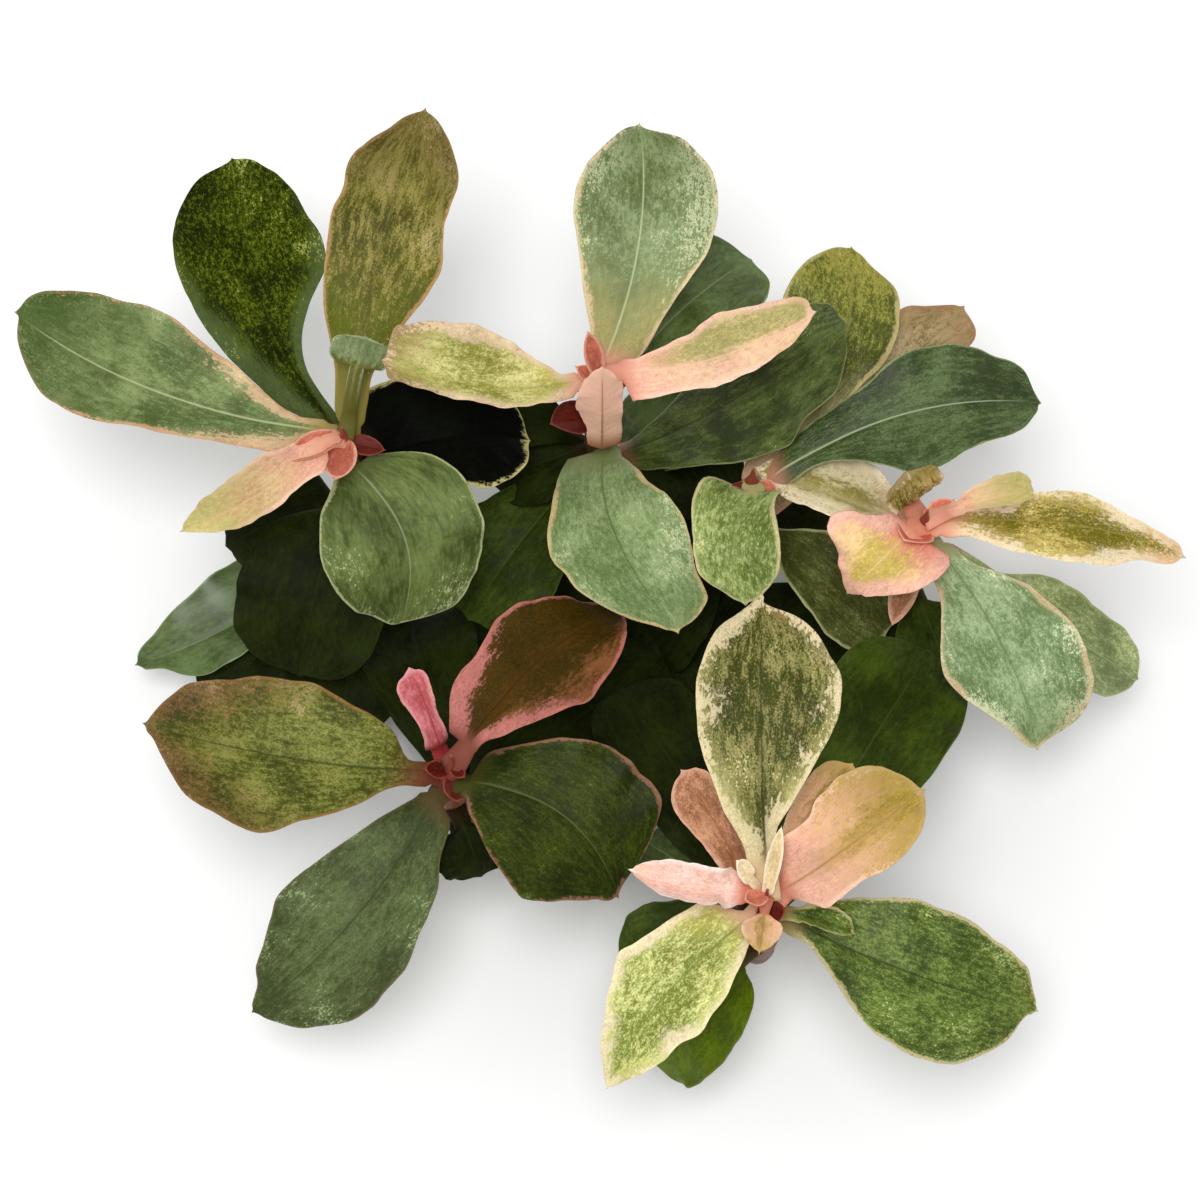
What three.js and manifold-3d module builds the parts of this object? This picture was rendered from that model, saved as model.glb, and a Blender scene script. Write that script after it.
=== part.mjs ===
// A bucephalandra clump: six leafy shoots that rise from one creeping rhizome with short roots.
// Millimetres, +Z up, +X to the right and +Y away from the viewer.
// The origin is on the flat underside of the rhizome, below the middle of the clump.
import * as THREE from "three";
import { mergeVertices } from "three/addons/utils/BufferGeometryUtils.js";
import Module from "manifold-3d";

const wasm = await Module();
wasm.setup();

const LEAF_SIDES = 8; // points round a leaf's section
const LEAF_ROWS = 10; // sections from the stalk to the tip
const SMALL_LEAF_ROWS = 6;
const SMALL_LEAF_REACH = 15; // a leaf that reaches less than this, in plan, takes fewer sections
const SHEATH_ROWS = 5;
const STALK_GAP = 0.6; // clear space between a stem and the stalk of a leaf
const STALK_WIDTH = 2.4;
const STALK_THICKNESS = 1.5;
const BLADE_THICKNESS = 1;
const TIP_CROWDING = 1.5; // sections stand closer together towards the rounded tip
const STEM_SIDES = 8;
const STEM_STEPS_PER_MM = 0.4;
const ROOT_SIDES = 5;
const ROOT_STEPS = 4;

// What a leaf is like unless its row says otherwise.
const PLAIN_LEAF = {
  stalk: 1, // bare stalk before the blade begins
  arch: 3, // how far the middle of the midrib stands above the straight line from end to end
  sway: 0, // the same to the left of that line, seen from above
  roll: 0, // degrees that the blade leans about its midrib, left side up
  fold: 10, // degrees that each half stands up from flat
  widest: 0.67, // share of the blade where it is widest
  blunt: 0.38, // 0.3 is a round tip and 1 a pointed one
};

// What a sheath or a bud is like: a short scale that hugs the stem it grows from.
const SHEATH = { rows: SHEATH_ROWS, stalk: 0, arch: -0.4, fold: 20, widest: 0.5, blunt: 0.7 };

// Each shoot: the line and thickness of its stem, the sheaths and buds grown out of it, then its leaves.
// A leaf leaves the stem at the height rise and runs reach millimetres in plan towards heading, where
// 0 is +X and 90 is +Y. Its tip ends lift higher.
const SHOOTS = {
  left: {
    line: [[-22.6, 9.6, 2.6], [-25, 12, 7], [-26, 14, 16], [-26.3, 14.5, 33]],
    thick: [4.6, 3.2],
    sheaths: [{ name: "bud", rise: 30.5, heading: 256, reach: 4.2, lift: 1, width: 2.6 }],
    leaves: [
      { name: "outer", rise: 30, heading: 157, reach: 37, lift: 0, width: 13.2, sway: 1.8 },
      { name: "dark", rise: 26.5, heading: 110, reach: 35.2, lift: 2, width: 14.4, sway: 2.8 },
      {
        name: "upright", rise: 29.5, heading: 76, reach: 33.5, lift: 10.5, width: 12.6,
        stalk: 8, widest: 0.57,
      },
      { name: "tiny", rise: 32, heading: 75, reach: 8, lift: 5, width: 4.8, arch: 1 },
      {
        name: "pink", rise: 31.5, heading: 210, reach: 18.5, lift: -3.5, width: 8.2,
        arch: 1, sway: 1.4, fold: 55, widest: 0.5, blunt: 0.8,
      },
      {
        name: "round", rise: 28, heading: 279, reach: 16, lift: -8, width: 18,
        sway: 4, widest: 0.52, blunt: 0.4,
      },
      { name: "shaded", rise: 24.5, heading: 3, reach: 18.3, lift: -1, width: 11.4, widest: 0.5 },
      { name: "low", rise: 19.5, heading: 254, reach: 19.4, lift: -7, width: 16.4, widest: 0.55 },
      {
        name: "lowest", rise: 11, heading: 216, reach: 27.7, lift: -3.5, width: 8.8,
        arch: 0.5, sway: 2.2, widest: 0.5, blunt: 0.7,
      },
    ],
  },
  back: {
    line: [[-1.5, 6.5, 2.6], [-1, 12, 5], [-0.2, 18, 12], [0, 19.5, 22], [0, 19.5, 37]],
    thick: [4.6, 3.2],
    sheaths: [
      { name: "tall", rise: 33.5, heading: 112, reach: 3.6, lift: 6, width: 3 },
      { name: "lower", rise: 25, heading: 196, reach: 5.2, lift: 5, width: 4 },
    ],
    leaves: [
      { name: "upright", rise: 33, heading: 79, reach: 25, lift: 9, width: 14.6, sway: -1.9 },
      {
        name: "folded", rise: 34.5, heading: 12, reach: 21.5, lift: 6, width: 10,
        arch: 1, sway: -2.4, fold: 50, widest: 0.6,
      },
      {
        name: "left", rise: 33, heading: 178, reach: 21.5, lift: 5, width: 10,
        arch: 1, sway: 2, fold: 38, widest: 0.6,
      },
      {
        name: "spear", rise: 24, heading: 270, reach: 4.4, lift: 20.5, width: 5.2,
        stalk: 5, arch: -1, widest: 0.6, blunt: 0.7,
      },
      {
        name: "front", rise: 20.5, heading: 287, reach: 25.5, lift: 6, width: 14.4,
        stalk: 4.5, sway: -1.6, widest: 0.52,
      },
      { name: "behind", rise: 29.5, heading: 45, reach: 22, lift: 0, width: 11.4 },
      { name: "low", rise: 15, heading: 20, reach: 26.2, lift: 17, width: 12.6, arch: 2, sway: -0.8 },
      { name: "lowest", rise: 16, heading: 232, reach: 22, lift: -3, width: 13 },
      { name: "shaded", rise: 17.5, heading: 164, reach: 14, lift: 0, width: 9 },
    ],
  },
  middle: {
    line: [[12.4, 6.2, 2.6], [14.4, 8.4, 6], [15.3, 10.5, 13], [15.7, 11.2, 30]],
    thick: [4.2, 3],
    leaves: [
      { name: "long", rise: 26, heading: 16, reach: 31, lift: 2, width: 12.8, sway: 0.6, blunt: 0.42 },
      {
        name: "back", rise: 20.5, heading: 67, reach: 29, lift: 5.5, width: 11.6,
        stalk: 5, sway: -2, widest: 0.6,
      },
      { name: "behind", rise: 17, heading: 43, reach: 31, lift: 6, width: 11, sway: -0.6 },
      {
        name: "front", rise: 28, heading: 264, reach: 13.5, lift: -1, width: 9.2,
        stalk: 0.5, sway: -1.5, widest: 0.5, blunt: 0.36,
      },
      { name: "low", rise: 18, heading: 319, reach: 18.5, lift: -3, width: 10 },
      { name: "lowest", rise: 12, heading: 222, reach: 15, lift: -5, width: 12 },
    ],
  },
  right: {
    line: [[25.6, 4, 2.6], [29.5, 5.3, 6], [32.5, 5.8, 14], [33.2, 5.7, 32]],
    thick: [4.4, 3.2],
    leaves: [
      {
        name: "outer", rise: 29, heading: 352, reach: 26, lift: 1, width: 10,
        arch: 2, sway: -0.8, fold: 48, widest: 0.52, blunt: 0.7,
      },
      {
        name: "pink", rise: 30, heading: 222, reach: 9.6, lift: -3, width: 10.6,
        stalk: 0.5, sway: 1, widest: 0.5, blunt: 0.42,
      },
      { name: "front", rise: 27, heading: 300, reach: 23, lift: -9, width: 13.6, sway: 1.2, blunt: 0.45 },
      { name: "behind", rise: 23, heading: 334, reach: 26, lift: -11, width: 10, sway: -1.4 },
      {
        name: "small", rise: 31, heading: 7, reach: 10.5, lift: 4, width: 4.8,
        arch: 2, sway: -0.6, fold: 45,
      },
      {
        name: "pale", rise: 23.5, heading: 155, reach: 17.4, lift: -4, width: 7.6,
        arch: 0.5, fold: 30, widest: 0.45, blunt: 0.9,
      },
      { name: "spear", rise: 30, heading: 118, reach: 3.5, lift: 8, width: 5.5, stalk: 2, arch: 1 },
    ],
  },
  near_left: {
    line: [[-6, -5.5, 2.4], [-9, -12, 2.4], [-13.5, -18, 5.5], [-15, -20.1, 13], [-14.8, -20.3, 31]],
    thick: [4.6, 3],
    leaves: [
      {
        name: "left", rise: 25, heading: 170, reach: 31, lift: 1, width: 15.4,
        stalk: 3, sway: 2.4, widest: 0.52, blunt: 0.5,
      },
      {
        name: "outer", rise: 23, heading: 228.5, reach: 28.8, lift: -9, width: 14,
        sway: 2.6, widest: 0.57, blunt: 0.44,
      },
      {
        name: "broad", rise: 26, heading: 329, reach: 19.8, lift: -4, width: 16.8,
        sway: 2, widest: 0.56, blunt: 0.4,
      },
      {
        name: "rosy", rise: 29, heading: 51, reach: 24.2, lift: -6, width: 11.6,
        stalk: 0.5, arch: 2, widest: 0.54, blunt: 0.42,
      },
      { name: "spear", rise: 28, heading: 119, reach: 7, lift: 10, width: 3.2, arch: 1 },
      { name: "front", rise: 15, heading: 285, reach: 6.2, lift: -4.5, width: 5.5, arch: 1, widest: 0.5 },
      { name: "low", rise: 12, heading: 107, reach: 25, lift: -5, width: 13 },
      { name: "lowest", rise: 10, heading: 45, reach: 22, lift: -4, width: 12 },
    ],
  },
  near_right: {
    line: [
      [6.5, -5.5, 2.4], [9.5, -15, 2.4], [13.5, -26, 3],
      [15.8, -33, 8.5], [16.3, -34.9, 18], [16.3, -34.9, 33],
    ],
    thick: [4.6, 3.2],
    sheaths: [
      { name: "bud", rise: 33, heading: 152, reach: 3.8, lift: 2.5, width: 2 },
      { name: "roll", rise: 32, heading: 60, reach: 2.6, lift: 6, width: 2.4 },
    ],
    leaves: [
      {
        name: "upright", rise: 31.5, heading: 90, reach: 28.5, lift: 7, width: 14.6,
        widest: 0.63, blunt: 0.6,
      },
      {
        name: "outer", rise: 29, heading: 226, reach: 22.4, lift: -8, width: 12,
        sway: 0.2, widest: 0.48, blunt: 0.75,
      },
      {
        name: "right", rise: 25.5, heading: 343, reach: 28, lift: -6, width: 15.2,
        sway: -1.8, widest: 0.62,
      },
      {
        name: "pink", rise: 29.5, heading: 29, reach: 16.8, lift: 7, width: 11.8,
        sway: -1.4, widest: 0.58, blunt: 0.42,
      },
      {
        name: "folded", rise: 31, heading: 174, reach: 13, lift: 2, width: 7.4,
        arch: 0.5, sway: 0.8, fold: 56, widest: 0.5, blunt: 0.7,
      },
      {
        name: "bud", rise: 32, heading: 262, reach: 5.5, lift: -1, width: 3.6,
        stalk: 1, blunt: 0.8, arch: 1,
      },
      { name: "rosy", rise: 27, heading: 121, reach: 14.2, lift: 3, width: 6, arch: 1 },
      { name: "behind", rise: 27, heading: 58, reach: 16, lift: 4, width: 6, arch: 2 },
      {
        name: "rolled", rise: 28, heading: 342, reach: 9, lift: 0, width: 4,
        arch: 1, fold: 48, widest: 0.5, blunt: 0.8,
      },
      { name: "shaded", rise: 22, heading: 118, reach: 30, lift: -4, width: 12 },
      { name: "low", rise: 21, heading: 60, reach: 35.4, lift: -3, width: 15 },
      { name: "lowest", rise: 18, heading: 225, reach: 15, lift: -9, width: 12.4, widest: 0.5 },
      { name: "left", rise: 20, heading: 139, reach: 15.6, lift: -2.5, width: 8, arch: 1.5 },
    ],
  },
};

// The rhizome lies on the surface, and its roots run out from it and down to the surface.
const RHIZOME = {
  line: [[-20.5, 8, 2.9], [-11, 3.6, 2.9], [0, 0, 2.9], [11, 0.6, 2.9], [22.5, 3.6, 2.9]],
  thick: [4.8, 6.8, 5],
};
const ROOT_THICK = [1.5, 0.7];
const ROOTS = [
  { from: [-15, 5.4], heading: 240, reach: 13 },
  { from: [-9, 2.6], heading: 95, reach: 11 },
  { from: [-6, 1.6], heading: 200, reach: 14 },
  { from: [2, 0.2], heading: 282, reach: 15 },
  { from: [7, 0.4], heading: 70, reach: 12 },
  { from: [13, 1.2], heading: 300, reach: 13 },
  { from: [18, 2.6], heading: 255, reach: 11 },
];

const COLOURS = {
  green: 0x4c6238,
  dark: 0x26351a,
  olive: 0x7c7a3c,
  pink: 0xd79a86,
  stem: 0x8c3f34,
  rhizome: 0x4a4a28,
};
const LEAF_COLOURS = {
  left: { dark: "dark", upright: "olive", pink: "pink", shaded: "dark", low: "dark", lowest: "dark" },
  back: { folded: "olive", left: "olive", spear: "pink", behind: "dark", lowest: "dark", shaded: "dark" },
  middle: { back: "olive", behind: "olive", low: "dark", lowest: "dark" },
  right: { outer: "olive", pink: "pink", small: "pink", pale: "olive", spear: "olive" },
  near_left: { left: "olive", rosy: "pink", spear: "pink", front: "dark", low: "dark", lowest: "dark" },
  near_right: {
    upright: "olive", outer: "olive", pink: "pink", folded: "pink", bud: "pink", rosy: "pink",
    behind: "pink", shaded: "dark", low: "dark", lowest: "dark", left: "dark",
  },
};

const radians = THREE.MathUtils.degToRad;
const smooth = (x, from, to) => THREE.MathUtils.smoothstep(x, from, to);
const point = (numbers) => new THREE.Vector3(...numbers);

// A closed geometry whose shared vertices are merged, so that only position is left.
function welded(geometry) {
  geometry.deleteAttribute("normal");
  geometry.deleteAttribute("uv");
  return mergeVertices(geometry, 1e-4);
}

function solidOf(geometry) {
  const closed = welded(geometry);
  return new wasm.Manifold(
    new wasm.Mesh({
      numProp: 3,
      vertProperties: closed.attributes.position.array,
      triVerts: new Uint32Array(closed.index.array),
    }),
  );
}

function geometryOf(solid) {
  const mesh = solid.getMesh();
  return new THREE.BufferGeometry()
    .setAttribute("position", new THREE.BufferAttribute(mesh.vertProperties, 3))
    .setIndex(new THREE.BufferAttribute(mesh.triVerts, 1));
}

// A closed round rod along a curve; radiusAt gives its radius at a share of its length.
function rodAlong(curve, steps, sides, radiusAt) {
  const rod = new THREE.CylinderGeometry(1, 1, 1, sides, steps);
  const frames = curve.computeFrenetFrames(steps, false);
  const position = rod.attributes.position;
  const place = new THREE.Vector3();
  for (let i = 0; i < position.count; i++) {
    const share = position.getY(i) + 0.5;
    const step = Math.round(share * steps);
    const radius = radiusAt(share);
    place
      .copy(curve.getPointAt(share))
      .addScaledVector(frames.binormals[step], position.getX(i) * radius)
      .addScaledVector(frames.normals[step], position.getZ(i) * radius);
    position.setXYZ(i, place.x, place.y, place.z);
  }
  return rod;
}

// The same rod cut off flat where it would pass below the surface that the plant lies on.
function aboveSurface(solid) {
  const depth = 20;
  const span = 200;
  const below = new THREE.BoxGeometry(span, span, depth).translate(0, 0, -depth / 2);
  return solid.subtract(solidOf(below));
}

function stemRadius([foot, top], share) {
  return THREE.MathUtils.lerp(foot, top, smooth(share, 0, 0.6)) / 2;
}

// A stem tapers to its top and closes there in a pointed bud.
function stemSolid(curve, { thick, sheaths = [] }) {
  const steps = Math.round(curve.getLength() * STEM_STEPS_PER_MM);
  const radiusAt = (share) => {
    const joint = 1 + 0.07 * Math.cos(share * steps * Math.PI);
    const bud = 1 - 0.85 * smooth(share, 0.93, 1);
    return stemRadius(thick, share) * joint * bud;
  };
  const rod = solidOf(rodAlong(curve, steps, STEM_SIDES, radiusAt));
  const grown = sheaths.map((row) => solidOf(leafGeometry({ ...SHEATH, ...row }, curve, thick, 0)));
  return aboveSurface(grown.reduce((joined, sheath) => joined.add(sheath), rod));
}

function rootSolid({ from, heading, reach }) {
  const out = new THREE.Vector3(Math.cos(radians(heading)), Math.sin(radians(heading)), 0);
  const start = point([...from, 1.8]);
  const bend = start.clone().addScaledVector(out, reach * 0.4).setZ(2.2);
  const end = start.clone().addScaledVector(out, reach).setZ(0.5);
  const curve = new THREE.QuadraticBezierCurve3(start, bend, end);
  const radiusAt = (share) => THREE.MathUtils.lerp(...ROOT_THICK, share) / 2;
  return solidOf(rodAlong(curve, ROOT_STEPS, ROOT_SIDES, radiusAt));
}

function rhizomeSolid() {
  const curve = new THREE.CatmullRomCurve3(RHIZOME.line.map(point));
  const steps = Math.round(curve.getLength() * STEM_STEPS_PER_MM);
  const [left, middle, right] = RHIZOME.thick.map((width) => width / 2);
  const radiusAt = (share) => {
    const ends = share < 0.5 ? left : right;
    const knob = 1 + 0.06 * Math.cos(share * steps * Math.PI);
    const rounded = Math.sqrt(Math.max(0.2, 1 - (2 * share - 1) ** 8));
    return THREE.MathUtils.lerp(middle, ends, (2 * share - 1) ** 2) * knob * rounded;
  };
  const body = solidOf(rodAlong(curve, steps, STEM_SIDES, radiusAt));
  return aboveSurface(ROOTS.map(rootSolid).reduce((joined, root) => joined.add(root), body));
}

// Half the width of a blade at a share of its length, as a part of its greatest half width.
function bladeProfile(share, widest, blunt) {
  const swell = (blunt * widest) / (1 - widest);
  const value = (x) => x ** swell * (1 - x) ** blunt;
  return value(share) / value(widest);
}

// A leaf is a ball drawn out between its poles: the first is the cut end of the stalk and the last the tip.
function leafGeometry(row, stemCurve, stemThick, clear) {
  const leaf = { ...PLAIN_LEAF, ...row };
  const rows = leaf.rows ?? (leaf.reach < SMALL_LEAF_REACH ? SMALL_LEAF_ROWS : LEAF_ROWS);
  const out = new THREE.Vector3(Math.cos(radians(leaf.heading)), Math.sin(radians(leaf.heading)), 0);
  const left = new THREE.Vector3(-out.y, out.x, 0);
  const stemShare = shareAtHeight(stemCurve, leaf.rise);
  const axis = stemCurve.getPointAt(stemShare);
  const tip = axis.clone().addScaledVector(out, leaf.reach);
  tip.z += leaf.lift;
  const slope = Math.abs(leaf.lift) / Math.hypot(leaf.lift, leaf.reach);
  const stand = clear && stemRadius(stemThick, stemShare) + clear + (slope * STALK_THICKNESS) / 2;
  const start = axis.clone().addScaledVector(out, stand);
  const chord = tip.clone().sub(start);
  const above = chord.clone().cross(left).normalize();
  const bend = start.clone().add(tip).multiplyScalar(0.5);
  bend.addScaledVector(above, 2 * leaf.arch).addScaledVector(left, 2 * leaf.sway);
  const midrib = new THREE.QuadraticBezierCurve3(start, bend, tip);
  const stalkShare = leaf.stalk / chord.length();

  const ball = new THREE.SphereGeometry(1, LEAF_SIDES, rows);
  const position = ball.attributes.position;
  const place = new THREE.Vector3();
  for (let i = 0; i < position.count; i++) {
    const section = Math.floor(i / (LEAF_SIDES + 1));
    const turn = ((i % (LEAF_SIDES + 1)) / LEAF_SIDES) * 2 * Math.PI;
    const pole = section === 0 || section === rows;
    const share = 1 - (1 - Math.max(0, section - 1) / (rows - 1)) ** TIP_CROWDING;
    const blade = Math.max(0, (share - stalkShare) / (1 - stalkShare));
    const tangent = midrib.getTangent(share);
    const side = left.clone().applyAxisAngle(tangent, radians(leaf.roll) * smooth(share, 0, 0.5));
    const up = tangent.clone().cross(side).normalize();
    const stalkHalf = (STALK_WIDTH / 2) * (1 - blade) ** 2;
    const half = Math.max(stalkHalf, (leaf.width / 2) * bladeProfile(blade, leaf.widest, leaf.blunt));
    const thick = THREE.MathUtils.lerp(STALK_THICKNESS, BLADE_THICKNESS, smooth(blade, 0, 0.3)) / 2;
    const across = pole ? 0 : -Math.cos(turn);
    const lean = radians(leaf.fold) * smooth(blade, 0, 0.2);
    place
      .copy(midrib.getPoint(share))
      .addScaledVector(side, half * across * Math.cos(lean))
      .addScaledVector(up, half * Math.abs(across) * Math.sin(lean))
      .addScaledVector(up, pole ? 0 : thick * Math.sin(turn) * (1 - 0.4 * blade));
    position.setXYZ(i, place.x, place.y, place.z);
  }
  return welded(ball);
}

// The share of a rising curve's length at which it reaches a height.
function shareAtHeight(curve, height) {
  let low = 0;
  let high = 1;
  for (let i = 0; i < 24; i++) {
    const middle = (low + high) / 2;
    if (curve.getPointAt(middle).z < height) low = middle;
    else high = middle;
  }
  return low;
}

function finished(name, geometry, colour) {
  geometry.computeVertexNormals();
  const material = new THREE.MeshStandardMaterial({
    color: COLOURS[colour],
    roughness: 0.45,
    metalness: 0,
    side: THREE.DoubleSide,
  });
  const mesh = new THREE.Mesh(geometry, material);
  mesh.name = name;
  return mesh;
}

const plant = new THREE.Group();
plant.add(finished("rhizome", geometryOf(rhizomeSolid()), "rhizome"));
for (const [name, shoot] of Object.entries(SHOOTS)) {
  const curve = new THREE.CatmullRomCurve3(shoot.line.map(point));
  plant.add(finished(`${name}_stem`, geometryOf(stemSolid(curve, shoot)), "stem"));
  for (const row of shoot.leaves) {
    const colour = LEAF_COLOURS[name][row.name] ?? "green";
    const geometry = leafGeometry(row, curve, shoot.thick, STALK_GAP);
    plant.add(finished(`${name}_leaf_${row.name}`, geometry, colour));
  }
}

export default plant;
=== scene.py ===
import math

import bpy
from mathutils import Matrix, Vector


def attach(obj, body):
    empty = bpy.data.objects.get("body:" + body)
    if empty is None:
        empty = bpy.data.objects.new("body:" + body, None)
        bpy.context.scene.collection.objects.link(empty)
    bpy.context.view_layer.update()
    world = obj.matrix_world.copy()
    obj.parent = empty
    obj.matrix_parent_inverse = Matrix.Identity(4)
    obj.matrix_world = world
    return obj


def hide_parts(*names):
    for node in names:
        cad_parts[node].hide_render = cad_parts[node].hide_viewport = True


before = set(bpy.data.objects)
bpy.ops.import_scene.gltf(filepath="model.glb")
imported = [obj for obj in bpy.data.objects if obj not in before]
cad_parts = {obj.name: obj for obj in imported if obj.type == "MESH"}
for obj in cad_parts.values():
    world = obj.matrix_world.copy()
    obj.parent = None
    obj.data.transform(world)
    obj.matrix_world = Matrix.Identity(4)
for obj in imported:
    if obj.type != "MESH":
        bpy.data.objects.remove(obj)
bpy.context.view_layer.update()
print("frame loaded:", len(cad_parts), "nodes")

mm = 0.001


# wires: a node's output, and the nodes that arithmetic on it adds
def operatorOf(operation, swapped=False):
    return lambda wire, other: combine(wire.tree, operation, *((other, wire) if swapped else (wire, other)))


class Wire:
    def __init__(self, tree, socket):
        self.tree = tree
        self.socket = socket
        self.isVector = socket.type == "VECTOR"

    __add__ = operatorOf("ADD")
    __radd__ = operatorOf("ADD", True)
    __sub__ = operatorOf("SUBTRACT")
    __rsub__ = operatorOf("SUBTRACT", True)
    __mul__ = operatorOf("MULTIPLY")
    __rmul__ = operatorOf("MULTIPLY", True)
    __truediv__ = operatorOf("DIVIDE")
    __rtruediv__ = operatorOf("DIVIDE", True)
    __pow__ = operatorOf("POWER")

    def __neg__(self):
        return self * -1.0


def plug(tree, value, slot):
    if isinstance(value, Wire):
        tree.links.new(value.socket, slot)
    else:
        slot.default_value = value


def nodeOf(tree, kind, values, **settings):
    node = tree.nodes.new(kind)
    for name, value in settings.items():
        setattr(node, name, value)
    for name, value in values.items():
        plug(tree, value, node.inputs[name])
    return node


def outputOf(tree, kind, values, output=0, **settings):
    return Wire(tree, nodeOf(tree, kind, values, **settings).outputs[output])


def scalarMath(tree, operation, *values):
    return outputOf(tree, "ShaderNodeMath", dict(enumerate(values)), operation=operation)


def vectorMath(tree, operation, *values):
    output = "Value" if operation == "DISTANCE" else "Vector"
    return outputOf(tree, "ShaderNodeVectorMath", dict(enumerate(values)), output, operation=operation)


def combine(tree, operation, first, second):
    vectors = [isinstance(value, Wire) and value.isVector for value in (first, second)]
    if not any(vectors):
        return scalarMath(tree, operation, first, second)
    if all(vectors) or operation in ("ADD", "SUBTRACT"):
        return vectorMath(tree, operation, first, second)
    # what is left is a vector times a number
    vector, scale = (first, second) if vectors[0] else (second, first)
    return outputOf(tree, "ShaderNodeVectorMath", {"Vector": vector, "Scale": scale}, operation="SCALE")


def mathOf(operation):
    return lambda wire, *others: scalarMath(wire.tree, operation, wire, *others)


sine, cosine, absolute, signOf = (mathOf(operation) for operation in ("SINE", "COSINE", "ABSOLUTE", "SIGN"))
larger, smaller, above = (mathOf(operation) for operation in ("MAXIMUM", "MINIMUM", "GREATER_THAN"))


def unit(wire):
    return vectorMath(wire.tree, "NORMALIZE", wire)


def cross(wire, other):
    return vectorMath(wire.tree, "CROSS_PRODUCT", wire, other)


def ramp(wire, low, high, start=0.0, end=1.0):
    values = {"Value": wire, "From Min": low, "From Max": high, "To Min": start, "To Max": end}
    return outputOf(wire.tree, "ShaderNodeMapRange", values, "Result", interpolation_type="SMOOTHSTEP")


def bellOf(wire, width):
    ratio = wire / width
    return scalarMath(wire.tree, "EXPONENT", ratio * ratio * -1.0)


def parts(wire):
    node = nodeOf(wire.tree, "ShaderNodeSeparateXYZ", {0: wire})
    return [Wire(wire.tree, output) for output in node.outputs]


def joined(tree, x, y, z):
    return outputOf(tree, "ShaderNodeCombineXYZ", {0: x, 1: y, 2: z})


def noise(vector, scale=1.0, detail=2.0, roughness=0.5):
    values = {"Vector": vector, "Scale": scale, "Detail": detail, "Roughness": roughness}
    return outputOf(vector.tree, "ShaderNodeTexNoise", values)


# geometry trees
def newTree(name, inputs):
    tree = bpy.data.node_groups.new(name, "GeometryNodeTree")
    tree.is_modifier = True
    for label, kind in {"Geometry": "Geometry", **inputs}.items():
        tree.interface.new_socket(label, in_out="INPUT", socket_type="NodeSocket" + kind)
    tree.interface.new_socket("Geometry", in_out="OUTPUT", socket_type="NodeSocketGeometry")
    group = tree.nodes.new("NodeGroupInput")
    return tree, {label: Wire(tree, group.outputs[label]) for label in ("Geometry", *inputs)}


def named(tree, name):
    return outputOf(tree, "GeometryNodeInputNamedAttribute", {"Name": name}, "Attribute", data_type="FLOAT")


def stored(tree, geometry, name, value):
    return outputOf(
        tree, "GeometryNodeStoreNamedAttribute", {"Geometry": geometry, "Name": name, "Value": value},
        data_type="FLOAT_VECTOR" if value.isVector else "FLOAT", domain="POINT",
    )


def endTree(tree, geometry, material):
    smoothed = outputOf(tree, "GeometryNodeSetShadeSmooth", {"Geometry": geometry})
    real = outputOf(tree, "GeometryNodeRealizeInstances", {"Geometry": smoothed})
    painted = outputOf(tree, "GeometryNodeSetMaterial", {"Geometry": real, "Material": material})
    nodeOf(tree, "NodeGroupOutput", {0: painted})


def quadratic(first, middle, last, share):
    rest = 1.0 - share
    return first * (rest * rest) + middle * (share * rest * 2.0) + last * (share * share)


def quadraticSlope(first, middle, last, share):
    return (middle - first) * (1.0 - share) + (last - middle) * share


# What all leaves share. Shares are parts of the blade from its stalk to its tip, and widths are in millimetres.
leafForm = {
    "ringCrowding": 1.5, "sideCrowding": 1.6,  # powers that draw rings to the tip and sides to the midrib
    "foldEnd": 0.2, "thinEnd": 0.22,  # shares at which the fold and the thickness are full
    "waveGrows": (0.05, 0.35), "waveFades": (1.0, 0.88), "lobeFades": (0.45, 0.0), "pointGrows": (0.965, 1.0),
    "waveRise": 2.2, "rippleRise": 5.0,  # powers that keep the waves to the margin
    "secondWave": (2.7, 0.45), "rippleBeat": 5.3,  # how many times as often as the wave, and how high
    "veinSlope": 0.6, "veinCurve": 0.045,
    "grooveWidth": 0.34, "keelWidth": 0.5, "stalkEnd": 0.4,
}
# The row values that the leaf tree takes: their unit, and the least share of them that a narrow leaf keeps.
leafInputs = {
    "widest": (1, 1), "blunt": (1, 1), "lobe": (1, 1), "waves": (1, 1), "ragged": (1, 1), "width": (mm, 1),
    "thickness": (mm, 1), "groove": (mm, 1), "ripple": (mm, 1), "point": (mm, 1), "keel": (mm, 0), "wave": (mm, 0),
    "pucker": (mm, 0), "stalkWidth": (mm, 0.55), "stalkThickness": (mm, 0.5), "veinGap": (1, 0.5),
}
sweepLengths = ("step", "ringGap", "ring", "lumps", "lumpSize")


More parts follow.
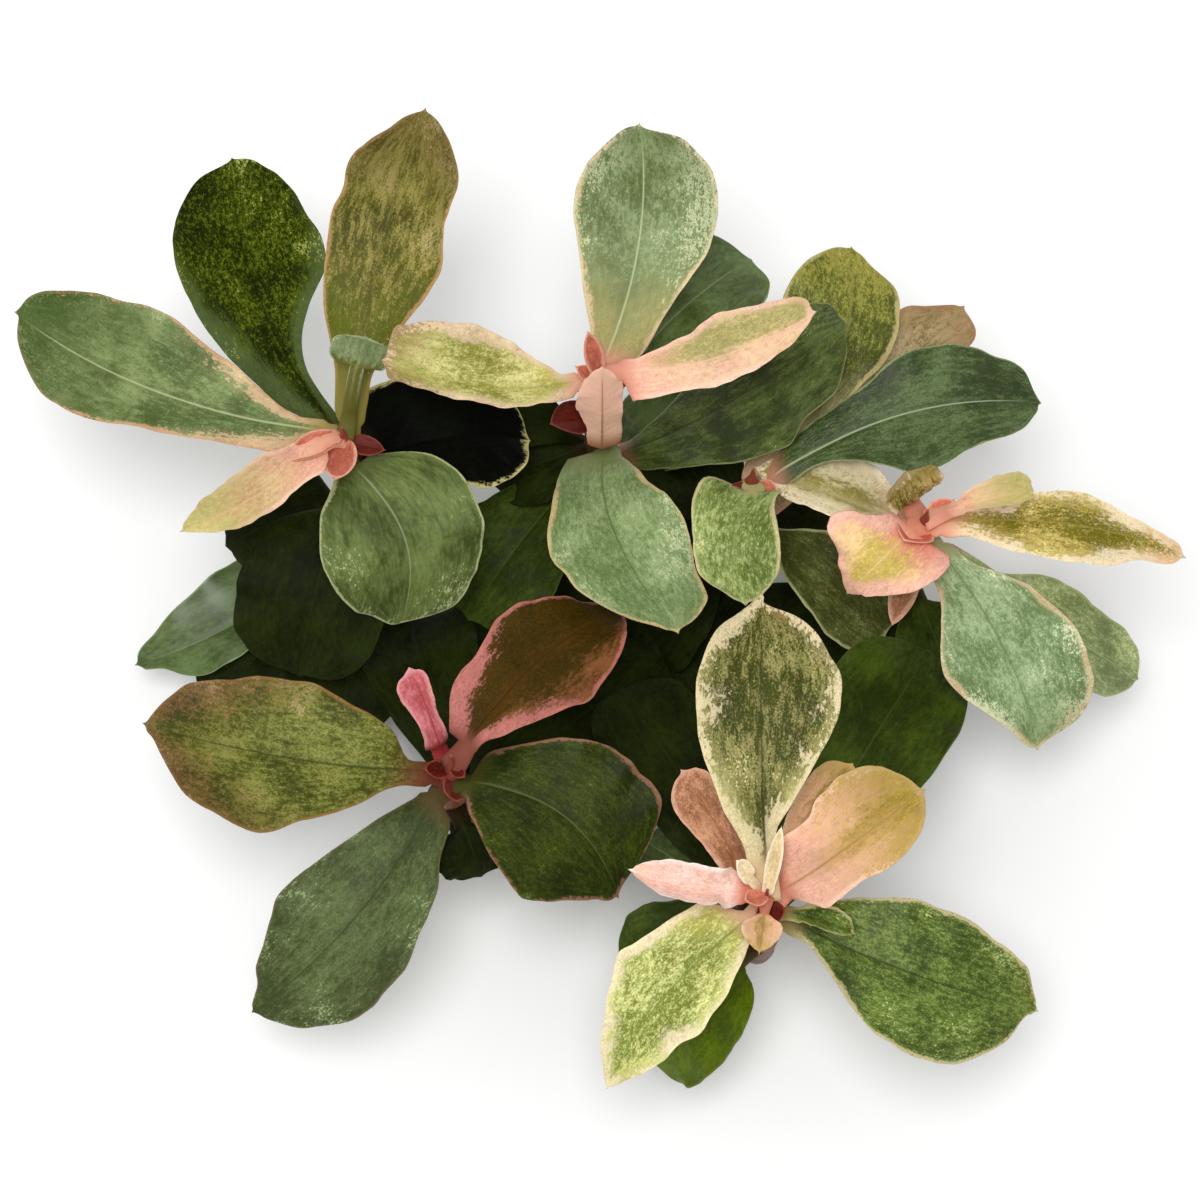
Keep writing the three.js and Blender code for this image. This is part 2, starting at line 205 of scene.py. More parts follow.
def makeLeafTree():
    floats = (*leafInputs, "length", "sheathed", "stalk", "foldLeft", "foldRight", "seed", "drawn")
    tree, given = newTree("Leaf", {
        "rings": "Int", "sides": "Int", **dict.fromkeys(("root", "start", "bend", "tip", "side"), "Vector"),
        **dict.fromkeys(floats, "Float"), "material": "Material",
    })
    ball = outputOf(
        tree, "GeometryNodeMeshUVSphere", {"Segments": given["sides"], "Rings": given["rings"], "Radius": 1.0},
        "Mesh",
    )
    x, y, z = parts(outputOf(tree, "GeometryNodeInputPosition", {}))
    ring = scalarMath(tree, "ARCCOSINE", larger(smaller(z, 1.0), -1.0)) / math.pi
    girth = larger(scalarMath(tree, "SQRT", x * x + y * y), 0.0001)
    turn = -(x / girth)
    topSide = y / girth
    across = signOf(turn) * absolute(turn) ** leafForm["sideCrowding"]
    row = larger((ring * given["rings"] - 1.0) / (given["rings"] - 1.0), 0.0)
    reach = (1.0 + given["sheathed"]) * (1.0 - (1.0 - row) ** leafForm["ringCrowding"]) - given["sheathed"]

    # the midrib: from inside the stem to the start, then on to the tip
    share = larger(reach, 0.0)
    inStem = above(0.0 - reach, 0.0)
    entry = larger(1.0 + reach / given["sheathed"], 0.0)
    control = given["start"] - unit(given["bend"] - given["start"]) * (
        vectorMath(tree, "DISTANCE", given["root"], given["start"]) * 0.5
    )
    bladePoints = given["start"], given["bend"], given["tip"]
    stalkPoints = given["root"], control, given["start"]
    blade = quadratic(*bladePoints, share)
    stalk = quadratic(*stalkPoints, entry)
    bladeSlope = unit(quadraticSlope(*bladePoints, share))
    stalkSlope = unit(quadraticSlope(*stalkPoints, entry))
    middle = blade + (stalk - blade) * inStem
    along = unit(bladeSlope + (stalkSlope - bladeSlope) * inStem)
    side = given["side"]
    up = unit(cross(along, side))

    # the outline, by rule or as the row gives it
    part = larger(smaller((share - given["stalk"]) / (1.0 - given["stalk"]), 1.0), 0.0)
    swell = given["blunt"] * given["widest"] / (1.0 - given["widest"])
    outline = larger(part, 0.00001) ** swell * larger(1.0 - part, 0.0) ** given["blunt"]
    fullest = given["widest"] ** swell * (1.0 - given["widest"]) ** given["blunt"]
    sideSign = above(across, 0.0)
    edgeNoise = noise(joined(tree, part * 3.5, sideSign * 7.0, given["seed"]), 1.0, 3.0) - 0.5
    drawn = []
    for name in ("leftHalf", "rightHalf"):
        values = {"Geometry": given["Geometry"], "Value": named(tree, name), "Index": ring * given["rings"] + 0.5}
        drawn.append(outputOf(tree, "GeometryNodeSampleIndex", values, data_type="FLOAT", domain="POINT"))
    ruled = given["width"] * 0.5 * (outline / fullest)
    followed = drawn[1] + (drawn[0] - drawn[1]) * sideSign
    bladeHalf = (ruled + (followed - ruled) * given["drawn"]) * (1.0 + edgeNoise * given["ragged"])
    stalkHalf = given["stalkWidth"] * 0.5 * (1.0 - part) ** 2.0
    stalkHalf = stalkHalf + (1.0 - entry) * inStem * (leafForm["stalkEnd"] * mm)
    half = scalarMath(tree, "SQRT", bladeHalf * bladeHalf + stalkHalf * stalkHalf)
    size = absolute(across)
    lateral = half * across
    grown = ramp(part, 0.0, leafForm["foldEnd"])
    lean = (given["foldRight"] + (given["foldLeft"] - given["foldRight"]) * sideSign) * grown
    folded = half * sine(lean) * (size * 0.5 + size * size * 0.5)

    # waves along the margin, swellings between the veins, groove and keel
    swing = part * given["waves"] * (2.0 * math.pi) + given["seed"] * 2.3 + sideSign * 2.6
    ease = ramp(part, *leafForm["waveGrows"]) * ramp(part, *leafForm["waveFades"])
    beat, strength = leafForm["secondWave"]
    waving = given["wave"] * size ** leafForm["waveRise"] * ease * (sine(swing) + sine(swing * beat) * strength)
    shaken = sine(swing * leafForm["rippleBeat"] + edgeNoise * 9.0)
    crisped = given["ripple"] * size ** leafForm["rippleRise"] * ease * shaken
    lengthPlace = share * given["length"] / mm
    lateralPlace = lateral / mm
    lateralSize = absolute(lateralPlace)
    veinPlace = lengthPlace - lateralSize * leafForm["veinSlope"] - lateralSize * lateralSize * leafForm["veinCurve"]
    ribbed = cosine(veinPlace / given["veinGap"] * (2.0 * math.pi)) * size * (1.0 - size) * 4.0
    puckered = given["pucker"] * ribbed * ease
    thinned = ramp(part, 0.0, leafForm["thinEnd"])
    plump = given["stalkThickness"] + (given["thickness"] - given["stalkThickness"]) * thinned
    skin = plump * 0.5 * (1.0 - part * 0.35) * topSide
    onTop = above(topSide, 0.0)
    slit = given["groove"] * bellOf(lateral, leafForm["grooveWidth"] * mm) * (1.0 - part * 0.7) * onTop
    ridge = given["keel"] * bellOf(lateral, leafForm["keelWidth"] * mm) * (1.0 - part * 0.85) * (1.0 - onTop)
    height = folded + waving + crisped + puckered + skin - (slit + ridge) * grown
    pointed = given["point"] * ramp(part, *leafForm["pointGrows"]) * (1.0 - size) ** 1.5
    swept = given["lobe"] * half * size ** 1.5 * ramp(part, *leafForm["lobeFades"]) * (1.0 - inStem)
    place = middle + side * (lateral * cosine(lean)) + up * height + along * (pointed - swept)

    # what the materials read is stored first, because the fields follow the ball's own points
    rimPlace = smaller(half / mm * (1.0 - size), (1.0 - part) * (given["length"] / mm) * 1.1)
    shaped = ball
    for name, value in {
        "shape": joined(tree, across, part, rimPlace),
        "place": joined(tree, lengthPlace, lateralPlace, given["seed"] * 11.0),
        "vein": joined(tree, veinPlace, across * given["width"] * (0.5 / mm), 0.0),
        "under": ramp(topSide, -0.02, -0.12),
        "stalk": ramp(reach, 0.0, given["stalk"] + 0.06, 1.0, 0.0),
    }.items():
        shaped = stored(tree, shaped, name, value)
    shaped = outputOf(tree, "GeometryNodeSetPosition", {"Geometry": shaped, "Position": place})
    endTree(tree, shaped, given["material"])
    return tree


def makeSweepTree():
    floats = (*sweepLengths, "seed")
    tree, given = newTree("Sweep", {"sides": "Int", **dict.fromkeys(floats, "Float"), "material": "Material"})
    line = outputOf(tree, "GeometryNodeMeshToCurve", {"Mesh": given["Geometry"]})
    line = outputOf(tree, "GeometryNodeResampleCurve", {"Curve": line, "Length": given["step"]}, mode="LENGTH")
    parameter = tree.nodes.new("GeometryNodeSplineParameter")
    factor, length = (Wire(tree, parameter.outputs[name]) for name in ("Factor", "Length"))
    thick, ringed = named(tree, "thick"), named(tree, "ringed")
    wander = noise(joined(tree, length * 300.0, given["seed"], ringed), 1.0, 1.0) - 0.5
    beat = scalarMath(tree, "FRACT", length / given["ringGap"] + wander * 1.8) - 0.5
    line = stored(tree, line, "along", factor)
    line = stored(tree, line, "scar", bellOf(beat, 0.06) * ringed)
    circle = outputOf(tree, "GeometryNodeCurvePrimitiveCircle", {"Resolution": given["sides"], "Radius": 1.0})
    radius = thick + (bellOf(beat, 0.07) + beat * 0.5) * given["ring"] * ringed
    tube = outputOf(
        tree, "GeometryNodeCurveToMesh",
        {"Curve": line, "Profile Curve": circle, "Scale": radius, "Fill Caps": True},
    )
    position, normal = (outputOf(tree, "GeometryNodeInput" + name, {}) for name in ("Position", "Normal"))
    bumps = noise(position + joined(tree, given["seed"] * 0.1, 0.0, 0.0), 1.0 / given["lumpSize"], 3.0) - 0.5
    x, y, z = parts(position + normal * (bumps * given["lumps"] * 2.0))
    onFloor = joined(tree, x, y, larger(z, 0.0))
    tube = outputOf(tree, "GeometryNodeSetPosition", {"Geometry": tube, "Position": onFloor})
    endTree(tree, tube, given["material"])
    return tree


leafTree = makeLeafTree()
sweepTree = makeSweepTree()
print("geometry trees built")


def plainMesh(worker, name):
    depsgraph = bpy.context.evaluated_depsgraph_get()
    shown = worker.evaluated_get(depsgraph)
    mesh = bpy.data.meshes.new_from_object(shown, preserve_all_data_layers=True, depsgraph=depsgraph)
    mesh.name = name
    old = worker.data
    worker.modifiers.clear()
    worker.data = mesh
    bpy.data.meshes.remove(old)
    worker.name = name
    return worker


def runTree(name, tree, values, mesh):
    worker = bpy.data.objects.new(name, mesh)
    bpy.context.scene.collection.objects.link(worker)
    modifier = worker.modifiers.new(tree.name, "NODES")
    modifier.node_group = tree
    for item in tree.interface.items_tree:
        if item.in_out == "INPUT" and item.name in values:
            modifier[item.identifier] = values[item.name]
    return plainMesh(worker, name)


def handOver(piece, slot, node=None):
    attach(piece, "root")
    if node:
        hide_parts(node)


# materials
def colourOf(code):
    channels = [int(code[i:i + 2], 16) / 255 for i in (0, 2, 4)]
    return (*[c / 12.92 if c <= 0.04045 else ((c + 0.055) / 1.055) ** 2.4 for c in channels], 1.0)


def mixed(factor, first, second):
    first, second = (colourOf(value) if isinstance(value, str) else value for value in (first, second))
    return outputOf(factor.tree, "ShaderNodeMix", {0: factor, 6: first, 7: second}, 2, data_type="RGBA")


def attribute(tree, name, output="Vector"):
    return outputOf(tree, "ShaderNodeAttribute", {}, output, attribute_name=name)


def newMaterial(name):
    material = bpy.data.materials.new(name)
    material.use_nodes = True
    return material


def dressed(material, values):
    shader = material.node_tree.nodes["Principled BSDF"]
    for name, value in values.items():
        plug(material.node_tree, value, shader.inputs[name])
    return material


# What a blade looks like unless its look says otherwise. A look may leave out the last values of an entry.
plainLook = {
    "flesh": "66723e", "deep": "4c5824",  # the blade's two tones
    "heart": ("4f6640", 0.0, 0.0),  # middle zone: its share of the half width, and its shift to the left
    "mottle": ("8a8a4c", 0.0, 0.7, 0.5),  # share, strength, and 1 for long streaks or 0 for grains
    "base": ("b88a70", 0.0, 0.12),  # blush from the stalk (on goldDusted a painted sheen): share of the blade, and how far it keeps to the margin
    "edge": ("c9c48f", 0.3, 0.8, 0.9),  # pale margin: width in millimetres, how broken it is, strength
    "speck": ("cfcf9c", 0.0, 0.75, 0.05),  # share, strength, and how far the specks keep to the margin
    "tip": ("5a4630", 0.0, 0.75, 0.2),  # share of the blade, strength, and how far it keeps to the margin
    "midrib": ("9fae82", 0.5), "paintedGrooveShade": 0.25,  # the rib's own line, and painted shade: a darker band beside it for the groove
    "under": "7b7f55", "stalk": "a8654f",
    "grain": 0.8, "cloud": 0.8,  # how much the brightness varies in grains and over the blade
    "relief": 0.3, "rough": 0.45, "coat": 0.0, "gloss": 0.14,
}
coatRough = 0.28
veinGap = 1.4
# scales of a blade's noises for each millimetre, along it and across it
noiseScales = {"broad": 0.17, "streaky": (0.38, 1.5), "grainy": (1.5, 2.2), "dusty": (4.2, 5.2)}
# how far the broad, streaky, grainy and dusty noise each move the bounds of a layer, or its height or roughness
weights = {
    "tone": (1.3, 0.8, 0.4, 0), "heart": (0.9, 0.9, 0.6, 0.3), "mottle": (0.45, 0.9, 0.9, 0.6),
    "base": (0, 0.6, 0.7, 0.4), "edge": (6, 2, 4.5, 1.5), "speck": (0.8, 0, 0.5, 0.6), "tip": (0.8, 0, 1.3, 1.1),
    "bump": (0, 0.6, 1, 0.5), "rough": (0.2, 0, 0.3, 0),
}


def lookOf(given):
    look = dict(plainLook)
    for key, value in given.items():
        plain = plainLook[key]
        if isinstance(plain, tuple):
            value = value if isinstance(value, tuple) else (value,)
            value = (*value, *plain[len(value):])
        look[key] = value
    return look


def blended(start, noises, layer):
    for wire, weight in zip(noises, weights[layer]):
        if weight:
            start = start + wire * weight
    return start


def leafMaterial(name, given):
    look = lookOf(given)
    material = newMaterial(name)
    tree = material.node_tree
    across, along, rim = parts(attribute(tree, "shape"))
    ribAt, ribOut, seed = parts(attribute(tree, "place"))
    veinAt, fanOut = parts(attribute(tree, "vein"))[:2]
    under, stalk = (attribute(tree, key, "Fac") for key in ("under", "stalk"))
    size = absolute(across)
    broad = noise(joined(tree, ribAt, ribOut, seed), noiseScales["broad"], 6.0, 0.6) - 0.5
    scaleAlong, scaleAcross = noiseScales["streaky"]
    streaky = noise(joined(tree, fanOut * scaleAcross, ribAt * scaleAlong, seed), 1.0, 4.0, 0.65) - 0.5
    scaleAlong, scaleAcross = noiseScales["grainy"]
    grainy = noise(joined(tree, ribAt * scaleAlong, ribOut * scaleAcross, seed), 1.0, 4.0, 0.7) - 0.5
    scaleAlong, scaleAcross = noiseScales["dusty"]
    dusty = noise(joined(tree, ribAt * scaleAlong, ribOut * scaleAcross, seed + 4.0), 1.0, 3.0, 0.7) - 0.5
    noises = broad, streaky, grainy, dusty

    colour = mixed(ramp(blended(0.0, noises, "tone"), -0.26, 0.26), look["deep"], look["flesh"])
    code, reach, shift = look["heart"]
    if reach:
        zone = blended(absolute(across - shift), noises, "heart")
        colour = mixed(ramp(zone, reach + 0.25, reach - 0.25), colour, code)
    code, covered, strength, streaks = look["mottle"]
    if covered:
        level = 0.2 * (0.5 - covered)
        patch = blended(0.0, (broad, streaky * streaks, grainy * (1.0 - streaks), dusty), "mottle")
        colour = mixed(ramp(patch, level - 0.08, level + 0.1) * strength, colour, code)
    # the base layer: a blush from the stalk; on goldDusted it is a painted sheen near the base, kept to the margin
    code, reach, outward = look["base"]
    if reach:
        baseBlushAndSheen = blended(along - (size - 0.45) * outward, noises, "base")
        colour = mixed(ramp(baseBlushAndSheen, reach, reach * 0.2), colour, code)
    code, width, broken, strength = look["edge"]
    if width:
        band = rim + blended(0.0, noises, "edge") * broken * width
        colour = mixed(ramp(band, width * 1.4, width * 0.5) * strength, colour, code)
    code, covered, strength, outward = look["speck"]
    if covered:
        level = 0.2 - 0.2 * covered
        patch = blended((size + along - 1.0) * outward, noises, "speck")
        colour = mixed(ramp(patch, level, level + 0.055) * strength, colour, code)
    code, reach, strength, outward = look["tip"]
    if reach:
        place = blended(along + (size - 0.5) * outward, noises, "tip")
        colour = mixed(ramp(place, 1.0 - reach, 1.16 - reach * 0.7) * strength, colour, code)
    veins = cosine(veinAt * (2.0 * math.pi / veinGap))
    value = (grainy + dusty * 0.9) * look["grain"] * 1.25 + broad * look["cloud"] + veins * 0.02 + 1.0
    colour = outputOf(tree, "ShaderNodeHueSaturation", {"Value": value, "Color": colour})
    lengthFade = ramp(along, 1.0, 0.8)
    # painted shade: the deep tone laid in a band along the midrib, for the shade in its groove
    colour = mixed(bellOf(ribOut, 0.55) * lengthFade * look["paintedGrooveShade"], colour, look["deep"])
    colour = mixed(under * 0.85, colour, look["under"])
    code, strength = look["midrib"]
    rib = ramp(absolute(ribOut) + along * 0.08 + dusty * 0.1, 0.2, 0.05) * lengthFade * strength
    colour = mixed(rib, colour, code)
    colour = mixed(stalk, colour, look["stalk"])
    height = blended(veins * 0.1, noises, "bump")
    bump = outputOf(tree, "ShaderNodeBump", {"Height": height, "Strength": look["relief"], "Distance": 0.3 * mm})
    return dressed(material, {
        "Base Color": colour, "Roughness": blended(look["rough"] + under * 0.15, noises, "rough"),
        "Coat Weight": look["coat"], "Coat Roughness": coatRough, "Specular IOR Level": look["gloss"],
        "Normal": bump,
    })


looks = {
    "slate": dict(
        flesh="66743e", deep="3a4716", edge=("a3a878", 0.22), speck=("b4b890", 0.12, 0.6, 0.2),
        midrib=("8f9b70", 0.6), stalk="5c6434", grain=0.5, cloud=0.6,
    ),
    "shadeSlate": dict(
        flesh="4e5a32", deep="38421c", mottle=("5c6a40", 0.3, 0.5), edge=("6a5a3c", 0.14),
        speck=("8c9870", 0.08, 0.75, 0.2), midrib=("2c3414", 0.7), stalk="5a4a2c",
    ),
    # its grey-blue cast is partly painted sheen, laid into the leaf's own colour
    "blushedSlate": dict(
        flesh="71814e", deep="4e5e2c", mottle=("8c9a68", 0.35, 0.4), base=("c8ac84", 0.16, 0.6),
        edge=("c49a72", 0.32), speck=("cfcf9c", 0.14, 0.75, 0.2), tip=("2c4400", 0.34), midrib=("b4bc90", 0.7),
        stalk="9c8c4c", grain=0.5,
    ),
    # the dark leaf: its grey-green base layer, kept to the margin, is a painted sheen
    "goldDusted": dict(
        flesh="243000", deep="151f00", mottle=("5c6616", 0.3, 0.7, 0.2), base=("4c5a30", 0.34, 0.8),
        edge=("c9c48f", 0.0), speck=("9a9f5c", 0.16), midrib=("101800", 0.6), stalk="4a3a1c", cloud=1.0, rough=0.42,
        gloss=0.03,
    ),
    "oldGold": dict(
        flesh="5e6010", deep="464208", mottle=("8e8244", 0.46, 0.8, 0.85), base=("565c0a", 0.35), edge="b08a58",
        speck=("b8a484", 0.34, 0.55), tip=("54401c", 0.36, 0.6), midrib=("4c4c12", 0.3), stalk="7c7434", grain=1.0,
        cloud=1.0,
    ),
    "salmonLime": dict(
        flesh="dcbc94", deep="ccac7c", mottle=("c8b488", 0.34, 0.6), base=("dca48c", 0.4), edge=("ecc4aa", 0.35),
        tip=("b4b068", 0.62), midrib="d8b088", under="d09c84", stalk="d89a80", rough=0.52,
    ),
    "tinyGreen": dict(
        flesh="7c8a60", deep="5e6c3e", base=("5e5c20", 0.3, 0.0), edge=("98a27c", 0.14), speck=("cfcf9c", 0.3),
        midrib=("9fae82", 0.2), paintedGrooveShade=0.0, stalk="5a5620",
    ),
    # dark green of the low leaves, darkened further toward black as painted shade
    "deepGreen": dict(
        flesh="1e2702", deep="121700", edge=("c9c48f", 0.0), midrib=("2c3612", 0.3), under="2c3412", stalk="2a200c",
        grain=0.9, rough=0.5, gloss=0.06,
    ),
    "lowGreen": dict(
        flesh="3a4a0c", deep="243000", edge=("4c5a20", 0.12), midrib=("4c5a24", 0.4), under="2c3412",
        stalk="2a200c", grain=0.9, rough=0.48, gloss=0.1,
    ),
    "tanRose": dict(
        flesh="e0b494", deep="c89870", heart=("8c7434", 0.3), mottle=("a88440", 0.34), edge=("dcb494", 0.4),
        tip=("a88c3c", 0.3), midrib="8c6c34", under="c89c7c", stalk="b8745c", rough=0.5,
    ),
    # painted shade: a near-black blade for a dark leaf deep in the clump; the cream margin is its own
    "nightGreen": dict(
        flesh="040700", deep="010200", edge=("c8c080", 0.42, 1.0), midrib=("9fae82", 0.0), under="2c3412",
        stalk="2a200c", rough=0.5, gloss=0.04,
    ),
    "cloudedGreen": dict(
        flesh="505828", deep="383e10", mottle=("7c7a4c", 0.12, 0.5), edge=("a8ac78", 0.32, 0.5),
        speck=("cfcf9c", 0.05), midrib=("4c5020", 0.3), stalk="3a2c14", gloss=0.1,
    ),
    "leafGreen": dict(
        flesh="566a04", deep="405200", edge=("5c6a24", 0.15), midrib=("5c6a24", 0.3), stalk="4a3a1c", gloss=0.1,
    ),
    "wetGreen": dict(
        flesh="566838", deep="3a4a1a", edge=("7c8858", 0.15), midrib=("8c9a74", 0.4), stalk="4a3a1c", relief=0.06,
        rough=0.36, coat=0.08, gloss=0.3,
    ),
    # its grey-blue cast is partly painted sheen, laid into the leaf's own colour
    "creamBasedSlate": dict(
        flesh="7c8c60", deep="5a6838", mottle=("98a474", 0.4, 0.3, 0.2), base=("a09c64", 0.42),
        edge=("dcc49a", 0.42, 1.1), speck=("c8caa0", 0.36, 0.6, 0.22), tip=("3c4420", 0.07), midrib=("bcc498", 0.7),
        stalk="dca48c", cloud=0.45,
    ),
    "pinkEdgedOlive": dict(
        flesh="f6ceb4", deep="e4b698", heart=("aca468", 0.42, 0.5), mottle=("c8b47c", 0.4), base=("e8b09a", 0.3),
        edge=("f2c8b0", 0.5), tip=("b9a060", 0.12), midrib="e8c0a4", under="d8a890", stalk="dc9680", cloud=0.6,
        rough=0.52,
    ),
    "creamEdgedLime": dict(
        flesh="b8b468", deep="8c8a34", mottle=("d4cc94", 0.45, 0.6, 0.3), base=("b8b050", 0.2),
        edge=("e4c8a4", 0.8, 1.0), speck=("cfcf9c", 0.1), tip=("7c5c34", 0.2), midrib=("7c8430", 0.3),
        under="dcb498", stalk="dca890", cloud=1.1,
    ),
    "limeGold": dict(
        flesh="a0a84c", deep="6c7824", heart=("78842c", 0.26), mottle=("d4d490", 0.5, 0.7, 0.35),
        base=("a8a850", 0.16), edge=("ecdcb4", 0.9, 1.2), speck=("dcdc98", 0.25), tip=("a89c5c", 0.08),
        midrib=("6c7820", 0.7), under="b9b57c", stalk="d8b490", cloud=0.7,
    ),
    "salmonSpear": dict(
        flesh="e4b096", deep="d09474", heart=("a8683c", 0.12), edge=("e8b8a0", 0.5), tip=("b98a50", 0.2),
        midrib=("a8683c", 0.8), under="f0c0a8", stalk="c87a5e", rough=0.5,
    ),
    # its grey-blue cast is partly painted sheen, laid into the leaf's own colour
    "creamSpeckedSlate": dict(
        flesh="8a9e6c", deep="647a46", mottle=("8c9c6c", 0.4, 0.5, 0.3), edge=("c4b07c", 0.28, 1.1),
        speck=("c8cca0", 0.24, 0.65, 0.2), tip=("7a6a3a", 0.08), midrib=("44562a", 0.6), stalk="7c8450", cloud=0.4,
    ),
    "ashGreen": dict(
        flesh="8ca274", deep="687e4c", mottle=("acb890", 0.4, 0.4, 0.3), edge=("ccb48c", 0.36, 1.2),
        speck=("d0d4ac", 0.36, 0.75, 0.3), tip=("8a6a3a", 0.08), midrib=("5c6e44", 0.6), stalk="8c8c60", cloud=0.5,
    ),
    "veinedGreen": dict(
        flesh="4a5818", deep="283402", mottle=("5a683a", 0.3, 0.5, 0.8), edge=("7f8650", 0.14),
        speck=("8c9468", 0.04), midrib=("242c06", 0.7), stalk="94684c", cloud=1.1, rough=0.42, gloss=0.3,
    ),
    "lightVeined": dict(
        flesh="40501f", deep="28380a", mottle=("6c8058", 0.34, 0.35, 0.7), edge=("8c9060", 0.16),
        midrib=("a0ae88", 0.8), stalk="a87458", rough=0.4, gloss=0.3,
    ),
    "oliveGold": dict(
        flesh="6a7010", deep="444c02", mottle=("a09c50", 0.4, 0.6), base=("bcae84", 0.42),
        edge=("c4b478", 0.3, 1.0), speck=("cfcf9c", 0.12), tip=("8a8030", 0.2), midrib="8a8a44", stalk="c49a78",
        gloss=0.3,
    ),
    "brownPink": dict(
        flesh="a89868", deep="847442", mottle=("d0b498", 0.45, 0.7, 0.3), edge="c08464", speck=("cfcf9c", 0.1),
        tip=("8c6a44", 0.25), midrib="a08c5c", stalk="c49478",
    ),
    "mottledGreen": dict(
        flesh="8c9c50", deep="5c6e2c", mottle=("a8b278", 0.4, 0.7, 0.15), edge=("ccc08c", 0.28, 1.0),
        speck=("cfcf9c", 0.3, 0.6), midrib=("8c985c", 0.4), stalk="a8a46c", cloud=0.6,
    ),
    "creamOlive": dict(
        flesh="e4d6b4", deep="ccbc94", heart=("847a34", 0.3), mottle=("8c8450", 0.2), base=("c8ac84", 0.2),
        edge=("ecdcbc", 0.6), tip=("6e6028", 0.2), midrib="a89c68", under="c9b48a", stalk="c89a7c", rough=0.48,
    ),
    "oliveCurl": dict(
        flesh="847028", deep="56480a", mottle=("b4a06c", 0.4, 0.85), edge=("d0b490", 0.4), tip=("6a5a1c", 0.3),
        midrib="7a6a2c", stalk="b8745c",
    ),
    "goldCream": dict(
        flesh="9c8c40", deep="6c6208", heart=("706812", 0.48, 0.15), mottle=("c4b068", 0.34), base=("c8a468", 0.16),
        edge=("f0dcb8", 1.1, 1.1), speck=("cfcf9c", 0.12), tip=("c9a27c", 0.16), midrib="98883c", under="d9b890",
        stalk="e0a488",
    ),
    "pinkYellow": dict(
        flesh="f0caa4", deep="dcb07c", heart=("c8b058", 0.42), mottle=("d4b860", 0.3), base=("ea9c88", 0.34),
        edge=("f0b8a4", 1.3), tip=("dca078", 0.12), midrib="e8c890", under="d99c82", stalk="dd8f74", rough=0.52,
    ),
    "freshGreen": dict(
        flesh="8a985e", deep="64723c", mottle=("aeb482", 0.3, 0.5), edge=("8f9a5c", 0.2), speck=("cfcf9c", 0.05),
        midrib="97a56c", rough=0.4, gloss=0.4,
    ),
    "brownTippedOlive": dict(
        flesh="64661c", deep="3e4206", mottle=("7c8042", 0.4, 0.7, 0.3), edge=("8a6834", 0.26),
        speck=("b49c74", 0.34, 0.75, 0.14), tip=("6c4a2c", 0.42, 0.7, 0.5), midrib=("2c3004", 0.7), stalk="6a3424",
        grain=1.0, cloud=0.9,
    ),
    "redEdgedGreen": dict(
        flesh="2c3600", deep="1c2600", mottle=("424c14", 0.3, 0.5), edge=("a07058", 0.34, 1.1, 0.65),
        speck=("586030", 0.06), midrib=("5c6434", 0.6), stalk="3c3c10", gloss=0.12,
    ),
    "rosyOlive": dict(
        flesh="94603c", deep="5c3410", heart=("3a2c02", 0.92, 0.3), mottle=("4c3004", 0.3, 0.6),
        base=("b06c64", 0.2, 0.7), edge=("b06c60", 0.35), midrib=("342400", 0.7), under="a06048", stalk="7c4438",
        grain=1.0, gloss=0.08,
    ),
    "rosePink": dict(
        flesh="d88084", deep="b04c50", edge="dc9490", midrib=("90343c", 0.7), under="b45a5c", stalk="8c2c2c",
        rough=0.48,
    ),
    "creamEdgedGreen": dict(
        flesh="485002", deep="2e3400", heart=("3c4200", 0.3), mottle=("988f58", 0.42, 0.75, 0.75),
        base=("a8a468", 0.26, 0.5), edge=("e0d0a4", 1.1, 1.5), speck=("ccc098", 0.24), tip=("6a3c28", 0.04),
        midrib=("2c3000", 0.7), under="a9a26a", stalk="d0b890", grain=1.0, cloud=0.9,
    ),
    "yellowFleckedGreen": dict(
        flesh="587018", deep="324400", mottle=("7c8c4c", 0.4, 0.6, 0.3), edge=("c4b884", 0.3, 1.2),
        speck=("c4cc90", 0.3, 0.75, 0.16), tip=("6c6c20", 0.08), midrib=("1c2800", 0.7), stalk="8c7c4c", grain=0.9,
        cloud=0.9, gloss=0.25,
    ),
    "salmonOlive": dict(
        flesh="dcae8c", deep="cc9c70", heart=("a08438", 0.26), mottle=("c09454", 0.26, 0.6), base=("e0ac96", 0.55),
        edge=("f0c4a8", 0.5), tip=("9c8828", 0.5), midrib=("94702c", 0.6), under="d69a80", stalk="d88c74",
        rough=0.5,
    ),
    "palePink": dict(
        flesh="fce0d4", deep="f0c8b8", edge=("fff0e8", 0.4), tip=("d8a878", 0.15), midrib=("e0a890", 0.4),
        paintedGrooveShade=0.1, under="f0c4b4", stalk="d88470", rough=0.52,
    ),
    "dullRose": dict(
        flesh="b8805c", deep="946040", mottle=("cc9c7c", 0.35, 0.6), edge=("d8a88c", 0.4), midrib="8c5c34",
        under="b07860", stalk="a85c48", rough=0.5,
    ),
    "paleBud": dict(
        flesh="ecdcb4", deep="dcc494", edge=("f4e8cc", 0.25), midrib=("e0c498", 0.2), paintedGrooveShade=0.0, under="eed9b4",
        stalk="c07860", rough=0.5,
    ),
    "sheath": dict(
        flesh="cc7c66", deep="ac5c48", edge=("e0a48c", 0.25), midrib="b05c44", under="b86c54", stalk="a04c3c",
        rough=0.5,
    ),
    "brightSheath": dict(
        flesh="e08c76", deep="c8604c", edge=("eeb09a", 0.25), midrib="c05c48", under="cc705c", stalk="a8443a",
        rough=0.48,
    ),
    "darkSheath": dict(
        flesh="682418", deep="480e06", edge=("8c4434", 0.15), midrib="480e06", under="682c20", stalk="480e06",
    ),
}
leafMaterials = {name: leafMaterial("leaf-" + name, look) for name, look in looks.items()}
print("leaf materials:", len(leafMaterials))


# the plant's lines, in millimetres, as in the solids
stalkGap = 0.6
solidStalk = 1.5
rootDrop = 1.6  # how far below its start a stalk grows out of the stem

